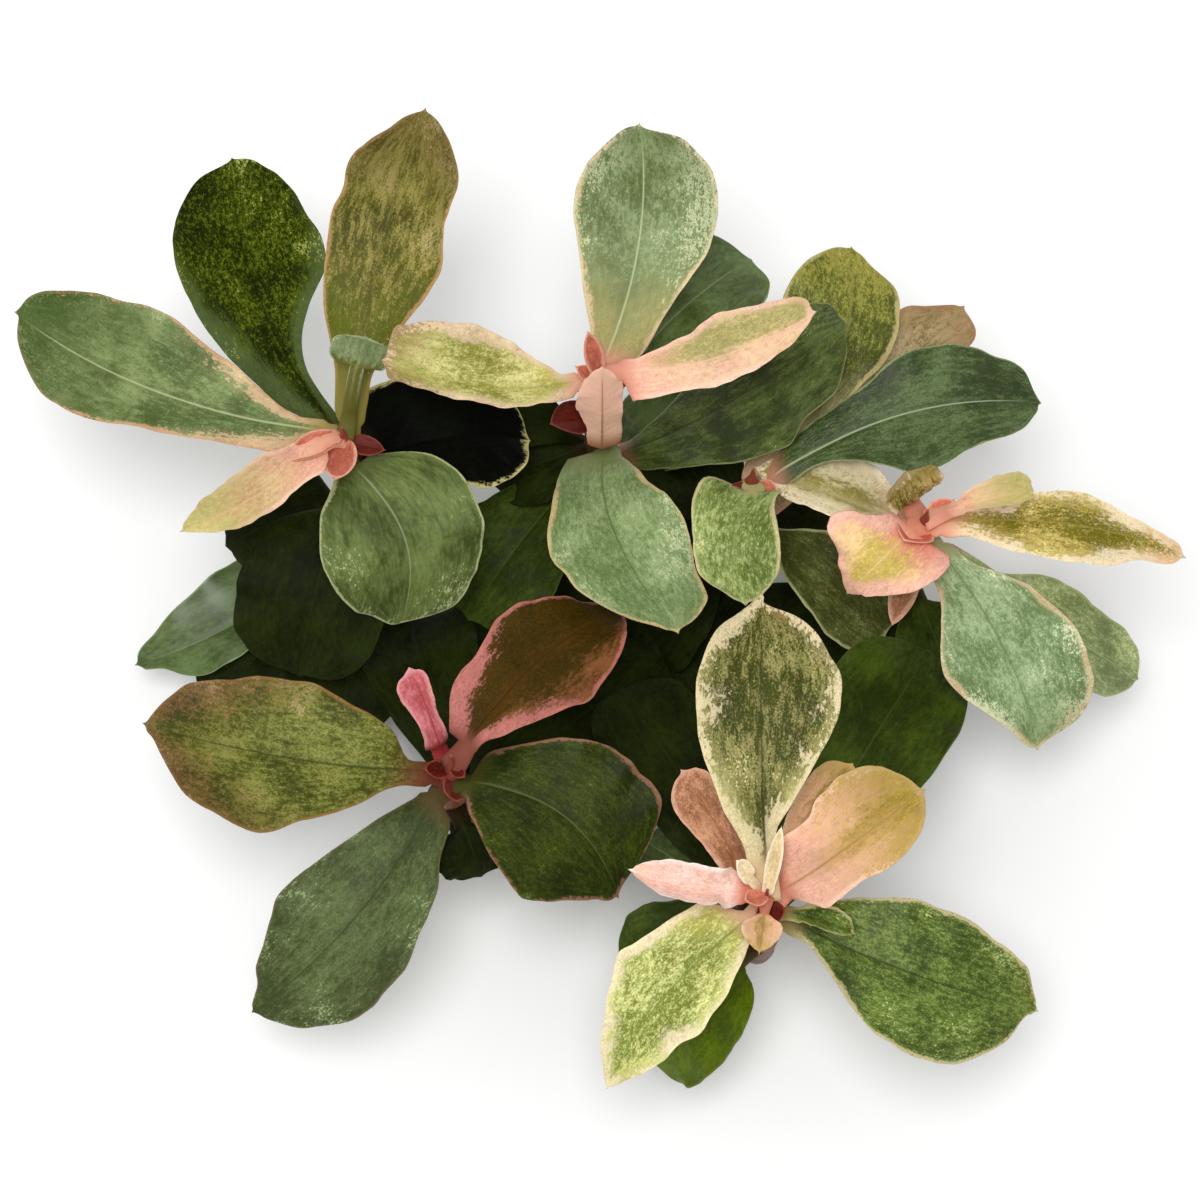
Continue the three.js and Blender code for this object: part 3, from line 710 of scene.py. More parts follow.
# What a leaf is like unless its row says otherwise.
plainLeaf = {
    "stalk": 1, "arch": 3, "sway": 0, "fold": 10, "widest": 0.67, "blunt": 0.38, "lobe": 0.0, "wave": 0.5,
    "waves": 1.6, "ripple": 0.09, "pucker": 0.035, "veinGap": 2.8, "ragged": 0.16, "point": 0.5, "thickness": 0.42,
    "stalkThickness": 1.4, "stalkWidth": 2.2, "groove": 0.11, "keel": 0.45, "look": "slate", "slot": "green_leaf",
}
sheathLeaf = {
    "stalk": 0, "arch": -0.4, "fold": 20, "widest": 0.5, "blunt": 0.7, "wave": 0.05, "ripple": 0.0, "pucker": 0.02,
    "thickness": 0.5, "stalkThickness": 0.6, "stalkWidth": 1.6, "keel": 0.15, "point": 0.2, "look": "sheath",
    "slot": "stem",
}
# Undergrowth: low dark leaves that fill the gaps under the canopy so the floor does not show there; their near-black
# tone is painted shade.
underLeaf = {"arch": 1, "widest": 0.55, "blunt": 0.42, "look": "deepGreen", "slot": "dark_leaf"}

# counts of rings and sides, and the seeds that follow those of the leaves
fullMesh = {"rings": 84, "sides": 56}
smallMesh = {"rings": 44, "sides": 32}
smallReach = 15
fullWidth = 12
underSeed = 60
firstSheathSeed = 101


# A row starts with the height on the stem, the heading in degrees, and the tip's reach and lift from there.
rowStart = ("rise", "heading", "reach", "lift", "width", "look", "slot")


def at(*start, **more):
    return {**dict(zip(rowStart, start)), **more}


# A row's left and right give the half widths of its outline from stalk to tip, in tenths of a millimetre.
leftLeaves = {
    "outer": at(
        30, 157.3, 37.2, 0, 13.2, "blushedSlate", sway=3.6,
        left=(8, 8, 29, 31, 35, 40, 43, 47, 56, 62, 60, 48, 33, 17, 1),
        right=(10, 10, 10, 20, 36, 52, 64, 74, 78, 73, 68, 59, 47, 32, 18),
    ),
    "dark": at(
        26.5, 111.1, 35.5, 2, 14.4, "goldDusted", "dark_leaf", sway=2.8,
        left=(5, 5, 18, 35, 44, 54, 61, 69, 73, 73, 69, 61, 50, 35, 10),
        right=(6, 6, 6, 6, 9, 21, 45, 77, 83, 76, 67, 54, 37, 24, 12),
    ),
    "upright": at(
        29.5, 76.1, 33.7, 10.5, 12.6, "oldGold", "mottled_leaf", stalk=8, ripple=0.14, sway=0.5,
        left=(12, 15, 17, 21, 31, 43, 52, 54, 57, 55, 58, 48, 30, 17, 7),
        right=(10, 10, 11, 11, 23, 36, 55, 66, 62, 59, 61, 50, 37, 23, 10),
    ),
    "tiny": at(32, 74, 8.3, 5, 6.4, "tinyGreen", arch=1, stalk=5, widest=0.5, blunt=0.15, stalkWidth=0.9),
    "pink": at(
        31.5, 209.5, 18.7, -3.5, 8.2, "salmonLime", "pink_leaf", arch=1, sway=1.4, fold=(18, 55),
        left=(13, 17, 22, 21, 22, 23, 26, 28, 29, 27, 21, 15, 9, 6, 3),
        right=(17, 17, 17, 20, 27, 34, 37, 37, 35, 31, 26, 19, 13, 9, 4),
    ),
    "round": at(
        28, 289, 17.1, -8, 18, sway=2.8, lobe=0.5, point=0,
        left=(25, 34, 46, 60, 74, 82, 83, 82, 80, 78, 73, 67, 60, 49, 32),
        right=(7, 14, 23, 34, 50, 71, 86, 90, 87, 78, 64, 48, 32, 19, 9),
    ),
    "shaded": at(
        24.5, 9, 18.8, -1, 12.8, "nightGreen", "dark_leaf", lobe=0.5,
        left=(25, 42, 55, 64, 69, 71, 71, 70, 68, 64, 58, 50, 40, 29, 16),
        right=(8, 16, 26, 36, 46, 54, 60, 64, 64, 62, 57, 49, 39, 28, 15),
    ),
    "low": at(19.5, 254, 19.4, -7, 16.4, "deepGreen", "dark_leaf", widest=0.55),
    "lowest": at(
        11, 212.1, 27.5, -3.5, 8.8, "wetGreen", "dark_leaf", arch=0.5, sway=2.2, pucker=0, ripple=0,
        left=(13, 16, 19, 22, 25, 28, 31, 34, 37, 39, 42, 33, 17, 12, 9),
        right=(17, 23, 30, 37, 44, 50, 57, 59, 53, 47, 40, 32, 24, 16, 8),
    ),
}
leftUndergrowth = {
    "side": at(16, 200, 14, -1, 13, stalk=0, widest=0.38),
    "low": at(9, 230, 24, -4, 13),
    "near": at(9, 265, 21.5, -3, 14),
}
leftSheaths = {
    "bud": at(30.5, 262, 4.8, 0.5, 3.8, blunt=0.5),
    "wrap": at(31, 209, 6.6, 0.8, 4.4, fold=50),
    "base": at(30, 348, 4.2, -0.5, 2.4, "darkSheath"),
}
backLeaves = {
    "upright": at(
        33, 80.6, 25.1, 9, 14.6, "creamBasedSlate", sway=-1.9, lobe=0.2,
        left=(8, 12, 18, 25, 36, 47, 57, 66, 71, 68, 60, 47, 33, 21, 10),
        right=(26, 29, 33, 37, 42, 49, 60, 72, 77, 78, 75, 69, 55, 40, 7),
    ),
    "folded": at(
        34.5, 11, 21.9, 6, 10, "pinkEdgedOlive", "mottled_leaf", arch=1, sway=-2, fold=(50, 8),
        left=(11, 12, 12, 16, 24, 30, 34, 41, 45, 43, 39, 37, 31, 24, 16),
        right=(30, 30, 30, 30, 29, 29, 30, 30, 30, 29, 26, 22, 14, 9, 4),
    ),
    "left": at(
        33, 180.1, 21.7, 5, 10, "creamEdgedLime", "mottled_leaf", arch=1, sway=2, fold=(30, 30),
        left=(12, 13, 15, 19, 25, 34, 36, 30, 26, 27, 28, 28, 28, 28, 25),
        right=(7, 7, 7, 17, 27, 38, 48, 54, 59, 60, 57, 52, 46, 38, 17),
    ),
    "spear": at(
        24, 272.7, 3.9, 20.5, 5.2, "salmonSpear", "pink_leaf", stalk=5, arch=-1,
        left=(17, 18, 18, 19, 19, 20, 20, 21, 21, 21, 22, 19, 15, 10, 5),
        right=(12, 12, 13, 13, 14, 14, 19, 24, 27, 26, 24, 19, 14, 9, 5),
    ),
    "front": at(
        20.5, 287.4, 25.7, 6, 14.4, "creamSpeckedSlate", stalk=4.5, sway=-2.7, lobe=0.4,
        left=(11, 13, 16, 25, 34, 44, 56, 67, 70, 66, 59, 55, 50, 35, 18),
        right=(41, 44, 46, 48, 50, 53, 61, 70, 72, 68, 63, 49, 31, 16, 8),
    ),
    "behind": at(29.5, 45, 22, 0, 11.4, "wetGreen", "dark_leaf"),
    "low": at(
        15, 17, 26.3, 17, 12.6, "veinedGreen", arch=2, sway=-2.1,
        left=(3, 3, 9, 16, 24, 33, 43, 53, 58, 59, 58, 54, 44, 34, 24),
        right=(15, 20, 27, 33, 42, 51, 60, 70, 79, 84, 72, 70, 62, 43, 26),
    ),
    "lowest": at(16, 232, 22, -3, 13, "lowGreen", "dark_leaf"),
    "shaded": at(17.5, 164, 14, 0, 9, "deepGreen", "dark_leaf"),
}
backUndergrowth = {
    "left": at(18, 200, 11.5, -1, 9.5),
    "front": at(9, 250, 14, -2, 10),
    "right": at(13, 33, 15, 0, 11.5, "wetGreen"),
}
backSheaths = {
    "tall": at(33.5, 112, 3.2, 5.2, 2.2),
    "lower": at(25, 205, 5.6, 3, 4.4, "darkSheath"),
    "lobe": at(33, 156, 2.6, 1.6, 1.9),
}
middleLeaves = {
    "long": at(
        26, 16, 30.8, 2, 12.8, "lightVeined", sway=1.7,
        left=(14, 18, 22, 26, 31, 35, 41, 52, 62, 66, 65, 60, 51, 42, 30),
        right=(11, 12, 13, 13, 20, 35, 53, 70, 69, 57, 53, 46, 34, 20, 10),
    ),
    "back": at(
        20.5, 67.9, 29.4, 5.5, 11.6, "oliveGold", "mottled_leaf", stalk=5, sway=-3.4,
        left=(16, 23, 29, 36, 42, 49, 55, 62, 68, 75, 68, 56, 41, 26, 13),
        right=(12, 14, 16, 18, 20, 22, 24, 34, 48, 54, 54, 52, 44, 20, 10),
    ),
    "behind": at(
        17, 44, 31.7, 6, 11, "brownPink", "mottled_leaf", sway=-0.6,
        left=(13, 16, 19, 22, 25, 28, 31, 34, 37, 40, 43, 41, 28, 15, 7),
        right=(12, 14, 17, 19, 21, 23, 25, 28, 30, 32, 34, 37, 39, 31, 14),
    ),
    "front": at(
        28, 265.9, 13.4, -1, 9.2, "mottledGreen", stalk=0.5, sway=-1.5, lobe=1.15,
        left=(12, 20, 25, 28, 30, 35, 43, 47, 48, 46, 42, 34, 25, 16, 8),
        right=(12, 26, 38, 47, 52, 51, 46, 43, 42, 41, 39, 32, 22, 14, 7),
    ),
    "low": at(18, 319, 18.5, -3, 10, "cloudedGreen", "dark_leaf"),
    "lowest": at(12, 222, 15, -5, 12, "deepGreen", "dark_leaf"),
}
middleUndergrowth = {
    "back": at(9, 150, 14, -2, 10),
    "side": at(9, 20, 14, -1.5, 10),
    "low": at(9, 300, 14, -2, 11),
    "far": at(13, 126, 15.5, 0, 11),
    "near": at(10.5, 240, 17, -3, 12),
    "front": at(7.5, 196, 13, -0.3, 9, arch=0.5),
}
middleSheaths = {
    "base": at(26.5, 236, 3.2, 1.5, 3, "darkSheath"),
    "lip": at(26, 330, 3, 1.5, 2.6),
}
rightLeaves = {
    "outer": at(
        29, 350.9, 26.2, 1, 10, "goldCream", "mottled_leaf", arch=2, sway=1, fold=(45, 6),
        left=(14, 17, 18, 19, 23, 27, 31, 35, 33, 29, 22, 18, 14, 11, 6),
        right=(10, 11, 12, 19, 28, 35, 39, 42, 43, 41, 29, 21, 17, 13, 6),
    ),
    "pink": at(
        30, 221.4, 10.4, -3, 10.6, "pinkYellow", "pink_leaf", stalk=0.5, sway=0.8, lobe=0.5,
        left=(44, 47, 51, 55, 58, 58, 52, 44, 37, 30, 21, 12, 9, 6, 3),
        right=(19, 23, 26, 30, 34, 45, 60, 67, 60, 45, 34, 25, 16, 10, 5),
    ),
    "front": at(
        27, 299.9, 23.5, -9, 13.6, "ashGreen", sway=0.8,
        left=(11, 13, 14, 20, 35, 52, 61, 70, 74, 76, 77, 74, 65, 47, 12),
        right=(14, 17, 21, 25, 34, 49, 66, 72, 66, 53, 39, 28, 20, 13, 6),
    ),
    "behind": at(
        23, 335.4, 25.4, -11, 10, "freshGreen", sway=-1.4,
        left=(11, 12, 13, 14, 15, 27, 39, 44, 44, 43, 40, 35, 28, 19, 9),
        right=(13, 16, 19, 23, 26, 29, 32, 35, 38, 41, 44, 41, 32, 21, 11),
    ),
    "small": at(31, 9, 10.5, 2.2, 4.8, "salmonLime", "pink_leaf", arch=2, sway=-0.6, fold=45),
    "pale": at(
        26.5, 157, 18.3, -0.3, 7.4, "creamOlive", "mottled_leaf", arch=0.5, fold=12,
        left=(5, 8, 12, 16, 20, 23, 25, 26, 26, 25, 22, 18, 13, 8, 4),
        right=(8, 14, 22, 30, 38, 44, 47, 48, 46, 42, 35, 27, 19, 11, 5),
    ),
    "spear": at(30, 124, 3.8, 3.4, 6.8, "oliveCurl", "mottled_leaf", stalk=0.5, arch=1, widest=0.7, blunt=0.2),
}
rightUndergrowth = {
    "left": at(10, 215, 15, -2, 11),
    "front": at(13, 250, 10.5, -1, 10),
    "side": at(14, 290, 12, -1, 9, "lowGreen"),
}
rightSheaths = {
    "column": at(27.5, 236, 4.4, 5.4, 4.4, "brightSheath"),
    "lip": at(29, 30, 3.2, 2, 2.6, "brightSheath"),
    "shelf": at(25.5, 250, 8.6, -4.5, 3.2, "dullRose", stalk=1),
}
nearLeftLeaves = {
    "left": at(
        25, 170.4, 31.2, 1, 15.4, "brownTippedOlive", "mottled_leaf", stalk=3, sway=2,
        left=(10, 10, 10, 20, 40, 56, 67, 83, 85, 77, 68, 47, 29, 13, 7),
        right=(5, 5, 8, 39, 53, 63, 73, 79, 79, 73, 65, 53, 37, 21, 8),
    ),
    "outer": at(
        23, 226.7, 29, -9, 14, "shadeSlate", sway=2.5,
        left=(20, 26, 30, 36, 51, 60, 70, 79, 79, 78, 73, 58, 46, 27, 13),
        right=(13, 16, 25, 34, 44, 55, 65, 72, 73, 60, 47, 35, 21, 12, 6),
    ),
    "broad": at(
        26, 325.5, 20.2, -4, 16.8, "redEdgedGreen", sway=2.4, lobe=0.3,
        left=(29, 41, 46, 50, 56, 68, 76, 84, 87, 88, 88, 83, 69, 46, 8),
        right=(10, 10, 22, 36, 50, 69, 85, 96, 97, 81, 61, 44, 28, 18, 9),
    ),
    "rosy": at(
        29, 47.9, 25, -6, 11.6, "rosyOlive", "pink_leaf", stalk=0.5, arch=2, sway=1.1, lobe=0.2,
        left=(18, 25, 33, 44, 50, 50, 54, 60, 58, 53, 46, 37, 27, 18, 9),
        right=(4, 4, 11, 25, 37, 50, 62, 69, 64, 58, 50, 38, 27, 18, 9),
    ),
    "spear": at(
        28, 120.5, 7.3, 10, 3.2, "rosePink", "pink_leaf", arch=1,
        left=(12, 12, 12, 12, 12, 13, 14, 15, 17, 19, 21, 22, 22, 19, 14),
        right=(10, 10, 10, 10, 10, 10, 9, 9, 10, 11, 12, 13, 13, 11, 7),
    ),
    "front": at(15, 285, 5.6, -4.5, 6.8, "deepGreen", "dark_leaf", arch=1, widest=0.38, blunt=0.7, stalk=0),
    "low": at(12, 103, 25, -5, 13, "deepGreen", "dark_leaf", widest=0.72),
    "lowest": at(10, 45, 22, -4, 12, "deepGreen", "dark_leaf"),
}
nearLeftUndergrowth = {
    "back": at(9, 79, 25, -2, 12),
    "far": at(13, 40, 28, -3, 14),
    "front": at(19, 292, 7.8, -3, 8),
}
nearLeftSheaths = {
    "bead": at(28, 312, 2, 1, 1.4, "darkSheath"),
    "base": at(27, 190, 2.6, 1.5, 2.2, "darkSheath"),
    "foot": at(26.5, 285, 3, -1, 2.6, "darkSheath"),
}
nearRightLeaves = {
    "upright": at(
        31.5, 90.6, 28.8, 7, 14.6, "creamEdgedGreen", "mottled_leaf", sway=0.4,
        left=(13, 15, 18, 27, 39, 48, 57, 63, 65, 64, 56, 44, 27, 12, 3),
        right=(5, 5, 5, 9, 24, 40, 56, 72, 79, 79, 67, 51, 27, 4, 2),
    ),
    "outer": at(
        29, 226.4, 22.5, -8, 12, "limeGold", "mottled_leaf", sway=-0.9,
        left=(10, 11, 18, 28, 36, 45, 49, 54, 44, 40, 33, 25, 15, 9, 4),
        right=(14, 30, 43, 45, 48, 52, 57, 63, 51, 40, 31, 23, 15, 10, 5),
    ),
    "right": at(
        25.5, 343.3, 28.2, -6, 15.2, "yellowFleckedGreen", sway=-1.7,
        left=(8, 16, 28, 39, 51, 60, 68, 72, 72, 67, 57, 45, 34, 19, 9),
        right=(6, 6, 8, 21, 39, 57, 75, 83, 86, 81, 68, 53, 35, 10, 4),
    ),
    "pink": at(
        29.5, 30.7, 17.5, 7, 11.8, "salmonOlive", "pink_leaf", sway=-0.9, lobe=0.2,
        left=(17, 23, 30, 38, 45, 45, 47, 58, 58, 58, 55, 48, 37, 24, 10),
        right=(5, 11, 19, 29, 40, 40, 39, 39, 42, 42, 39, 35, 26, 16, 8),
    ),
    "folded": at(
        31, 171.5, 13.3, 2, 7.4, "palePink", "pink_leaf", arch=0.5, fold=56, sway=0.8,
        left=(3, 8, 12, 16, 26, 38, 48, 49, 48, 45, 37, 28, 21, 14, 7),
        right=(14, 17, 21, 24, 28, 31, 32, 33, 31, 29, 25, 20, 15, 10, 5),
    ),
    "bud": at(
        32, 262, 5.7, -1, 3.9, "tanRose", "pink_leaf", stalk=0, arch=0.6, stalkWidth=1.2,
        left=(6, 8, 11, 15, 18, 20, 20, 19, 17, 14, 11, 8, 5, 3, 1),
        right=(6, 8, 11, 15, 19, 21, 21, 20, 18, 15, 12, 9, 6, 3, 1),
    ),
    "rosy": at(
        27, 121.4, 15.5, 3, 6, "dullRose", "pink_leaf", arch=1, lobe=0.3,
        left=(13, 14, 15, 16, 18, 19, 21, 23, 27, 30, 30, 27, 21, 14, 7),
        right=(12, 13, 14, 15, 16, 18, 19, 20, 21, 22, 23, 22, 20, 16, 12),
    ),
    "behind": at(27, 58, 16, 4, 6, "tanRose", "pink_leaf", arch=2),
    "rolled": at(28, 342, 9, 0, 4, "yellowFleckedGreen", arch=1, fold=48, widest=0.5, blunt=0.8),
    "shaded": at(22, 118, 30, -4, 12, "deepGreen", "dark_leaf"),
    "low": at(21, 60, 35.4, -3, 15, "lowGreen", "dark_leaf"),
    "lowest": at(18, 225, 15, -9, 12.4, "leafGreen", "dark_leaf", widest=0.5),
    "left": at(20, 139, 15.6, -2.5, 8, "wetGreen", "dark_leaf", arch=1.5),
}
nearRightUndergrowth = {
    "left": at(22, 190, 14.5, -3, 9, "lowGreen"),
}
nearRightSheaths = {
    "bud": at(31, 145, 3.6, 4.6, 2, "paleBud", stalk=2.6, blunt=0.4),
    "roll": at(31.5, 76, 5.4, 5, 2.2, "paleBud", fold=45),
    "base": at(30, 285, 3, 1, 3, "darkSheath"),
    "cap": at(31.5, 212, 2.6, 2.6, 2.1),
}

# Each shoot: where it leaves the rhizome, its line, how thick it is below and above, and what grows on it.
shoots = {
    "left": {
        "foot": (-18.5, 7, 2.9), "thick": (4.6, 3.2),
        "line": [(-22.6, 9.6, 2.6), (-25, 12, 7), (-26, 14, 16), (-26.3, 14.5, 33)],
        "leaves": leftLeaves, "undergrowth": leftUndergrowth, "sheaths": leftSheaths,
    },
    "back": {
        "foot": (-1, 1, 2.9), "thick": (4.6, 3.2),
        "line": [(-1.5, 6.5, 2.6), (-1, 12, 5), (-0.2, 18, 12), (0, 19.5, 22), (0, 19.5, 37)],
        "leaves": backLeaves, "undergrowth": backUndergrowth, "sheaths": backSheaths,
    },
    "middle": {
        "foot": (11.5, 2, 2.9), "thick": (4.2, 3),
        "line": [(12.4, 6.2, 2.6), (14.4, 8.4, 6), (15.3, 10.5, 13), (15.7, 11.2, 30)],
        "leaves": middleLeaves, "undergrowth": middleUndergrowth, "sheaths": middleSheaths,
    },
    "right": {
        "foot": (21, 3.3, 2.9), "thick": (4.4, 3.2),
        "line": [(25.6, 4, 2.6), (29.5, 5.3, 6), (32.5, 5.8, 14), (33.2, 5.7, 32)],
        "leaves": rightLeaves, "undergrowth": rightUndergrowth, "sheaths": rightSheaths,
    },
    "near_left": {
        "foot": (-4, -0.5, 2.8), "thick": (4.6, 3),
        "line": [(-6, -5.5, 2.4), (-9, -12, 2.4), (-13.5, -18, 5.5), (-15, -20.1, 13), (-14.8, -20.3, 31)],
        "leaves": nearLeftLeaves, "undergrowth": nearLeftUndergrowth, "sheaths": nearLeftSheaths,
    },
    "near_right": {
        "foot": (5, -0.5, 2.8), "thick": (4.6, 3.2),
        "line": [
            (6.5, -5.5, 2.4), (9.5, -15, 2.4), (13.5, -26, 3), (15.8, -33, 8.5), (16.3, -34.9, 18), (16.3, -34.9, 33),
        ],
        "leaves": nearRightLeaves, "undergrowth": nearRightUndergrowth, "sheaths": nearRightSheaths,
    },
}


def smooth(x, low, high):
    t = min(max((x - low) / (high - low), 0.0), 1.0)
    return t * t * (3 - 2 * t)


def smoothLine(points, count=60):
    # a centripetal Catmull-Rom curve through the points, as (point, share of its length)
    points = [Vector(p) for p in points]
    held = [points[0] * 2 - points[1], *points, points[-1] * 2 - points[-2]]
    places = []
    for index in range(len(points) - 1):
        p0, p1, p2, p3 = held[index:index + 4]
        d0, d1, d2 = (math.sqrt((b - a).length) for a, b in ((p0, p1), (p1, p2), (p2, p3)))
        t1 = ((p1 - p0) / d0 - (p2 - p0) / (d0 + d1) + (p2 - p1) / d1) * d1
        t2 = ((p2 - p1) / d1 - (p3 - p1) / (d1 + d2) + (p3 - p2) / d2) * d1
        square, cube = p2 * 3 - p1 * 3 - t1 * 2 - t2, p1 * 2 - p2 * 2 + t1 + t2
        places += [p1 + t1 * t + square * t * t + cube * t ** 3 for t in (step / count for step in range(count))]
    places.append(points[-1])
    lengths = [0.0]
    for a, b in zip(places, places[1:]):
        lengths.append(lengths[-1] + (b - a).length)
    return [(place, length / lengths[-1]) for place, length in zip(places, lengths)]


def atHeight(line, height):
    for (a, shareA), (b, shareB) in zip(line[-2::-1], line[:0:-1]):
        if a.z <= height <= b.z:
            part = (height - a.z) / (b.z - a.z)
            return a.lerp(b, part), shareA + (shareB - shareA) * part
    return line[-1]


def stemRadius(thick, share):
    return (thick[0] + (thick[1] - thick[0]) * smooth(share, 0, 0.6)) / 2


def towards(heading):
    return Vector((math.cos(math.radians(heading)), math.sin(math.radians(heading)), 0))


def through(knots, spot):
    # a smooth curve through the knots
    first = min(int(spot), len(knots) - 2)
    a, b, c, d = (knots[min(max(first + step, 0), len(knots) - 1)] for step in (-1, 0, 1, 2))
    t = spot - first
    square, cube = a - 2.5 * b + 2 * c - d / 2, 1.5 * (b - c) + (d - a) / 2
    return max(b + (c - a) * t / 2 + square * t * t + cube * t ** 3, 0.0)


def halfWidths(name, leaf, rings, sheathed):
    # one point for each ring of the leaf, which carries the half widths that the row gives
    mesh = bpy.data.meshes.new(name)
    if "left" not in leaf:
        return mesh
    mesh.from_pydata([(0, 0, 0)] * (rings + 1), [], [])
    for key in ("left", "right"):
        knots = [0.8, *(half / 10 for half in leaf[key]), 0.0]
        values = mesh.attributes.new(key + "Half", "FLOAT", "POINT").data
        for ring in range(rings + 1):
            row = max((ring - 1) / (rings - 1), 0.0)
            share = (1 + sheathed) * (1 - (1 - min(row, 1.0)) ** leafForm["ringCrowding"]) - sheathed
            if share > 0:
                spot = math.acos(1 - 2 * min(share, 1.0)) / math.pi * (len(knots) - 1)
                values[ring].value = through(knots, spot) * mm
    return mesh


def makeLeaf(name, row, line, thick, clear, seed):
    leaf = {**plainLeaf, **row}
    out = towards(leaf["heading"])
    left = Vector((-out.y, out.x, 0))
    axis, share = atHeight(line, leaf["rise"])
    tip = axis + out * leaf["reach"] + Vector((0, 0, leaf["lift"]))
    slope = abs(leaf["lift"]) / math.hypot(leaf["lift"], leaf["reach"])
    stand = stemRadius(thick, share) + clear + slope * solidStalk / 2 if clear else 0.0
    start = axis + out * stand
    chord = tip - start
    raised = chord.cross(left).normalized()
    bend = (start + tip) / 2 + raised * 2 * leaf["arch"] + left * 2 * leaf["sway"]
    root = atHeight(line, leaf["rise"] - rootDrop)[0] if clear else start
    counts = smallMesh if leaf["reach"] < smallReach else fullMesh
    size = min(leaf["width"] / fullWidth, 1.0)
    sheathed = (start - root).length / chord.length
    foldLeft, foldRight = leaf["fold"] if isinstance(leaf["fold"], tuple) else (leaf["fold"], leaf["fold"])
    values = {
        **{key: leaf[key] * unit * (least + (1 - least) * size) for key, (unit, least) in leafInputs.items()},
        **counts, "root": root * mm, "start": start * mm, "bend": bend * mm, "tip": tip * mm, "side": left,
        "length": chord.length * mm, "sheathed": sheathed, "stalk": leaf["stalk"] / chord.length,
        "foldLeft": math.radians(foldLeft), "foldRight": math.radians(foldRight), "drawn": float("left" in leaf),
        "seed": float(seed), "material": leafMaterials[leaf["look"]],
    }
    values = {key: tuple(value) if isinstance(value, Vector) else value for key, value in values.items()}
    mesh = halfWidths(name, leaf, counts["rings"], sheathed)
    return runTree(name, leafTree, values, mesh), leaf["slot"]


seed = 0
sheathSeed = firstSheathSeed
for shootName, shoot in shoots.items():
    line = smoothLine(shoot["line"])
    thick = shoot["thick"]
    for name, row in shoot["leaves"].items():
        seed += 1
        node = shootName + "_leaf_" + name
        handOver(*makeLeaf(node + "_blade", row, line, thick, stalkGap, seed), node)
    # undergrowth: dark filler leaves in the gaps under the canopy, near black as painted shade
    for name, row in shoot["undergrowth"].items():
        name = shootName + "_under_" + name
        handOver(*makeLeaf(name, {**underLeaf, **row}, line, thick, stalkGap, underSeed + seed))
    for name, row in shoot["sheaths"].items():
        name = shootName + "_sheath_" + name
        handOver(*makeLeaf(name, {**sheathLeaf, **row}, line, thick, 0, sheathSeed))
        sheathSeed += 1
print("leaves:", seed, "sheaths:", sheathSeed - firstSheathSeed)


# stems, rhizome and roots
def barkMaterial(name, foot, top, scar, rough):
    material = newMaterial(name)
    tree = material.node_tree
    colour = mixed(ramp(attribute(tree, "along", "Fac"), 0.55, 0.95), foot, top)
    colour = mixed(attribute(tree, "scar", "Fac") * 0.4, colour, scar)
    return dressed(material, {"Base Color": colour, "Roughness": rough})


stemForm = {
    "step": 0.45, "sides": 20, "ringGap": 3.4, "ring": 0.16, "lumps": 0.07, "lumpSize": 2.2,
    "skin": barkMaterial("stem-skin", foot="4c391f", top="833826", scar="a87450", rough=0.5),
}
rhizomeForm = {
    "step": 0.5, "sides": 28, "ringGap": 2.6, "ring": 0.3, "lumps": 0.32, "lumpSize": 2.6,
    "skin": barkMaterial("rhizome-skin", foot="474224", top="514c29", scar="8a7a50", rough=0.7),
    "line": [(-20.5, 8, 2.9), (-11, 3.6, 2.9), (0, 0, 2.9), (11, 0.6, 2.9), (22.5, 3.6, 2.9)],
    "thick": (4.8, 6.8, 5), "seed": 11,
}
rootForm = {
    "step": 0.35, "sides": 10, "ringGap": 1.9, "ring": 0.05, "lumps": 0.12, "lumpSize": 1.3,
    "skin": barkMaterial("root-skin", foot="6a5938", top="ad9d7b", scar="8a7a50", rough=0.75),
    "thick": (1.5, 0.7), "heights": (1.8, 2.2, 0.5), "steps": 40, "ringed": 0.3,
    "roots": [  # the start, the heading and the reach of each
        ((-15, 5.4), 240, 13), ((-9, 2.6), 95, 11), ((-6, 1.6), 200, 14), ((2, 0.2), 282, 15), ((7, 0.4), 70, 12),
        ((13, 1.2), 300, 13), ((18, 2.6), 255, 11),
    ],
}


def makeSweep(name, line, radiusAt, form, seed, ringed=1.0):
    mesh = bpy.data.meshes.new(name)
    mesh.from_pydata([place * mm for place, share in line], [(i, i + 1) for i in range(len(line) - 1)], [])
    thick = mesh.attributes.new("thick", "FLOAT", "POINT")
    rings = mesh.attributes.new("ringed", "FLOAT", "POINT")
    for index, (place, share) in enumerate(line):
        thick.data[index].value = radiusAt(share) * mm
        rings.data[index].value = ringed * smooth(share, 0.0, 0.1) * smooth(share, 0.98, 0.85)
    values = {key: form[key] * mm for key in sweepLengths}
    values.update(sides=form["sides"], seed=float(seed), material=form["skin"])
    return runTree(name, sweepTree, values, mesh)


def caneRadius(share):
    return stemRadius(thick, share) * (1 - 0.9 * smooth(share, 0.8, 1)) * (0.6 + 0.4 * smooth(share, 0, 0.12))


def rhizomeRadius(share):
    start, middle, end = rhizomeForm["thick"]
    centred = 2 * share - 1
    tapered = middle + ((start if share < 0.5 else end) - middle) * centred ** 2
    return tapered / 2 * math.sqrt(max(0.2, 1 - centred ** 8))


def rootRadius(share):
    start, end = rootForm["thick"]
    return (start + (end - start) * share) / 2


for index, (shootName, shoot) in enumerate(shoots.items()):
    thick = shoot["thick"]
    line = smoothLine([shoot["foot"], *shoot["line"]])
    handOver(makeSweep(shootName + "_stem_cane", line, caneRadius, stemForm, index), "stem", shootName + "_stem")

line = smoothLine(rhizomeForm["line"])
handOver(makeSweep("rhizome_body", line, rhizomeRadius, rhizomeForm, rhizomeForm["seed"]), "rhizome", "rhizome")

